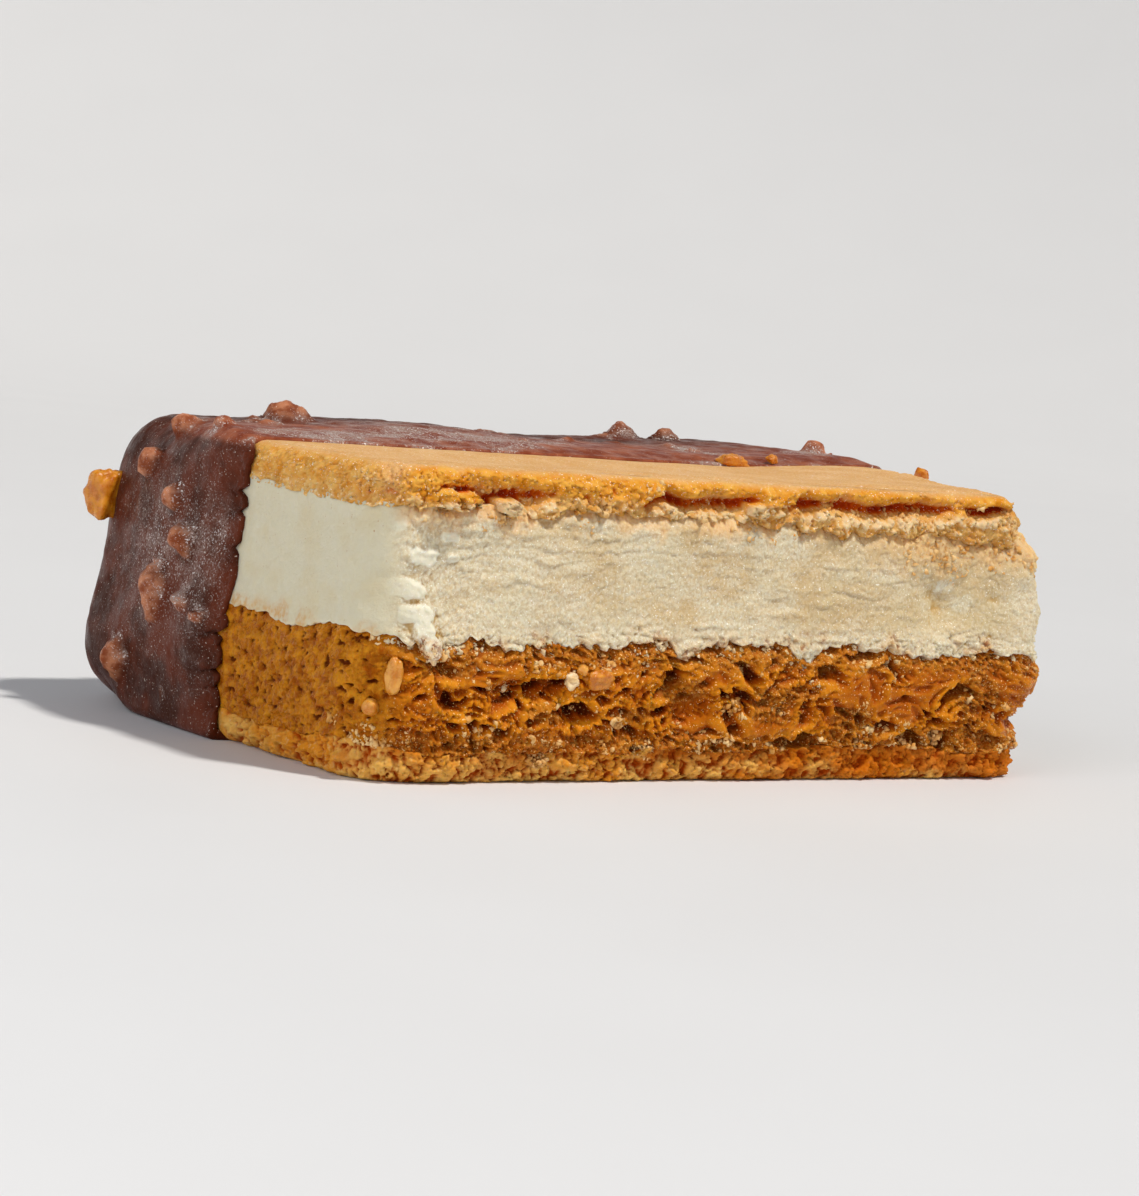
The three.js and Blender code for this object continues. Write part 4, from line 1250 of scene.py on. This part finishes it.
def scattered(rings, count, low, high, left, right, seed):
    """Points picked by seed from a skin's wall between two heights and two places along the front. Groups of
    fourteen lie round shared centres, thickest near the first height: z = low + (high - low) * chance². Each
    is pressed in 0.15 mm."""
    chance = np.random.default_rng(seed)
    wall = rings[3:-3]
    front = np.flatnonzero((wall[0, :, 0] > left) & (wall[0, :, 0] < right) & (wall[0, :, 1] < -24))
    groups = count // 14 + 1
    group = chance.integers(0, groups, count)
    along = chance.uniform(0, len(front), groups)[group] + chance.normal(0, 5, count)
    column = front[np.clip(along, 0, len(front) - 1).astype(int)]
    level = low + (high - low) * chance.random(groups)[group] ** 2 + chance.normal(0, 0.45, count)
    row = np.abs(wall[:, column, 2] - level).argmin(axis=0)
    return wall[row, column] + (0, 0.15, 0)


def heaps(places, count, seed):
    """Points in round heaps: centre + radius * a direction * chance^(1/3), flatter from front to back."""
    centres, radius = zip(*places)
    chance = np.random.default_rng(seed)
    way = chance.normal(size=(len(centres), count, 3))
    way = way / np.linalg.norm(way, axis=-1, keepdims=True) * (1, 0.6, 0.8)
    size = np.array(radius)[:, None, None] * chance.random((len(centres), count, 1)) ** (1 / 3)
    return (np.array(centres)[:, None] + way * size).reshape(-1, 3)


def small_lumps(name, places, size, seed):
    """Lumps of half size * (0.4 to 1.4) at those places, each stretched and turned by chance."""
    chance = np.random.default_rng(seed)
    halves = size * (0.4 + chance.random((len(places), 1)) ** 3) * chance.uniform(0.6, 1.4, (len(places), 3))
    return lumps_mesh(name, places, halves, chance.uniform(0, 3, (len(places), 2)), 3, 6, 0.8, seed)


CRUMB_HEAPS = [  # centre, radius
    ((-10, -33, 3.6), 1.6),
    ((1, -33.3, 8.4), 1.5),
    ((-14, -33.4, 6.6), 0.8),
    ((-24, -33, 2.6), 1.3),
    ((20, -33, 4.2), 1.1),
    ((9, -33.2, 11.2), 0.8),
    ((31, -33, 5), 1.2),
]
crumb_places = np.concatenate(
    (  # skin, count, first and second height, left and right end, seed
        scattered(vanilla_rings, 400, 28.8, 27.3, -44, 46, 1),
        scattered(vanilla_rings, 500, 27.5, 23.5, 24, 46, 2),
        scattered(caramel_rings, 700, 3.8, 6.0, -46, 46, 3),
        scattered(top_rings, 500, 29.0, 31.5, -46, 46, 4),
        scattered(caramel_rings, 350, 13.0, 6.0, -40, 46, 5),
        heaps(CRUMB_HEAPS, count=70, seed=9),
    )
)


def piece_colour(dark, light):
    """Colour clouds of 1.5 mm between two shades."""
    return lambda tree: shades(tree, dark, light, 1.5, 3.0)


def piece_bumps(tree):
    """Grain of 0.3 mm."""
    return bumps(tree, cloud(tree, 0.3, 3.0), 0.12)


crumb_finish = new_finish(
    "crumb_finish",
    piece_colour((218, 156, 74), (242, 206, 146)),
    lambda tree: spread(tree, cloud(tree, 0.6), 0.3, 0.7, 0.5, 0.8),
    piece_bumps,
    Specular_IOR_Level=0.3,
)
crumbs = small_lumps("biscuit_crumbs", crumb_places, size=0.24, seed=11)
add_piece("biscuit_crumbs", crumbs, crumb_finish, "top_biscuit")

flake_places = np.concatenate(
    (  # skin, count, first and second height, left and right end, seed
        scattered(caramel_rings, 700, 15.2, 13.8, -44, 46, 6),
        scattered(caramel_rings, 60, 12.8, 8.0, -40, 46, 8),
    )
)
CHUNKS = [  # centre, half sizes, turn about z and then about x
    ((-38.9, -34.2, 13.7), (0.5, 0.5, 0.9), (0.7, 0.2)),
    ((-21.4, -34.5, 11.2), (0.9, 0.7, 0.7), (0.4, 0.3)),
]
flake_finish = new_finish(
    "flake_finish",
    piece_colour((226, 190, 134), (242, 220, 182)),
    lambda tree: spread(tree, cloud(tree, 0.6), 0.3, 0.7, 0.35, 0.6),
    piece_bumps,
    Subsurface_Weight=0.4,
    Subsurface_Radius=(1.0, 0.95, 0.85),
    Subsurface_Scale=0.3 * MM,
    Specular_IOR_Level=0.35,
)
flakes = small_lumps("vanilla_flakes", flake_places, size=0.22, seed=12)
add_piece("vanilla_flakes", flakes, flake_finish, "vanilla_ice_cream")
chunks = lumps_mesh("vanilla_chunks", *zip(*CHUNKS), rows=24, columns=36, rough=0.4, seed=14)
add_piece("vanilla_chunks", chunks, flake_finish, "vanilla_ice_cream")

# ====================================================================================================
# Floor, light and camera
# A pale sweep that curves up all round, a sun for key light from the upper right, a large soft fill light
# from the left and open white surroundings. The camera looks at the sandwich's left front corner from just
# above the table.
# ====================================================================================================

SWEEP_FLAT, SWEEP_REACH, SWEEP_RISE = 900, 2200, 900


def sweep_mesh():
    """A disc whose edge curves up: height = rise * ((r - flat) / (reach - flat))² beyond the flat part."""
    radius = np.concatenate((np.linspace(1, SWEEP_FLAT, 12), np.linspace(SWEEP_FLAT, SWEEP_REACH, 30)[1:]))
    angle = np.linspace(0, 2 * math.pi, 96, endpoint=False)
    height = SWEEP_RISE * (np.maximum(radius - SWEEP_FLAT, 0) / (SWEEP_REACH - SWEEP_FLAT)) ** 2
    x, y = radius[:, None] * np.cos(angle), radius[:, None] * np.sin(angle)
    points = np.stack((x, y, height[:, None] + 0 * x), axis=-1).reshape(-1, 3)
    here = np.arange(len(points)).reshape(x.shape)
    right = np.roll(here, -1, axis=1)
    faces = np.stack((here[:-1], here[1:], right[1:], right[:-1]), axis=-1).reshape(-1, 4).tolist()
    mesh = bpy.data.meshes.new("floor")
    mesh.from_pydata((points * MM).tolist(), [], [*faces, here[0].tolist()])
    mesh.shade_smooth()
    return mesh


floor = bpy.data.objects.new("floor", sweep_mesh())
bpy.context.scene.collection.objects.link(floor)
floor.data.materials.append(
    new_finish(
        "floor_finish",
        lambda tree: blend(tree, cloud(tree, 200.0), paint((224, 226, 230)), paint((227, 229, 233))),
        lambda tree: spread(tree, cloud(tree, 60.0), 0.3, 0.7, 0.6, 0.7),
        lambda tree: bumps(tree, cloud(tree, 1.0), 0.005),
    )
)

world = bpy.data.worlds.new("surroundings")
world.use_nodes = True
world.node_tree.nodes["Background"].inputs["Color"].default_value = (0.97, 0.97, 1, 1)
world.node_tree.nodes["Background"].inputs["Strength"].default_value = 0.18
bpy.context.scene.world = world


def add_light(name, kind, position, aim, power, colour, **size):
    """A lamp at a place in millimetres, turned to face its aim."""
    light = bpy.data.lights.new(name, kind)
    light.energy = power
    light.color = colour
    for key, value in size.items():
        setattr(light, key, value)
    lamp = bpy.data.objects.new(name, light)
    lamp.location = Vector(position) * MM
    lamp.rotation_euler = (Vector(aim) - Vector(position)).to_track_quat("-Z", "Y").to_euler()
    bpy.context.scene.collection.objects.link(lamp)


add_light("key_light", "SUN", (270, -350, 860), (0, 0, 16), 2.5, (1, 0.95, 0.87), angle=math.radians(5))
add_light("fill_light", "AREA", (-700, -300, 400), (0, 0, 16), 2.2, (0.97, 0.98, 1), size=0.5)

CAMERA_AT = Vector((-225.75, -321.12, 50.43))
CAMERA_AIM = Vector((-1.5, -4.7, 16.8))
CAMERA_ROLL = math.radians(5.15)
CAMERA_LENS = 101.16

camera_data = bpy.data.cameras.new("camera")
camera_data.lens = CAMERA_LENS
camera_data.clip_start = 0.01
camera = bpy.data.objects.new("camera", camera_data)
camera.location = CAMERA_AT * MM
looking = (CAMERA_AIM - CAMERA_AT).to_track_quat("-Z", "Y").to_matrix().to_4x4()
camera.rotation_euler = (looking @ Matrix.Rotation(CAMERA_ROLL, 4, "Z")).to_euler()
bpy.context.scene.collection.objects.link(camera)
bpy.context.scene.camera = camera
bpy.context.scene.view_settings.view_transform = "Standard"
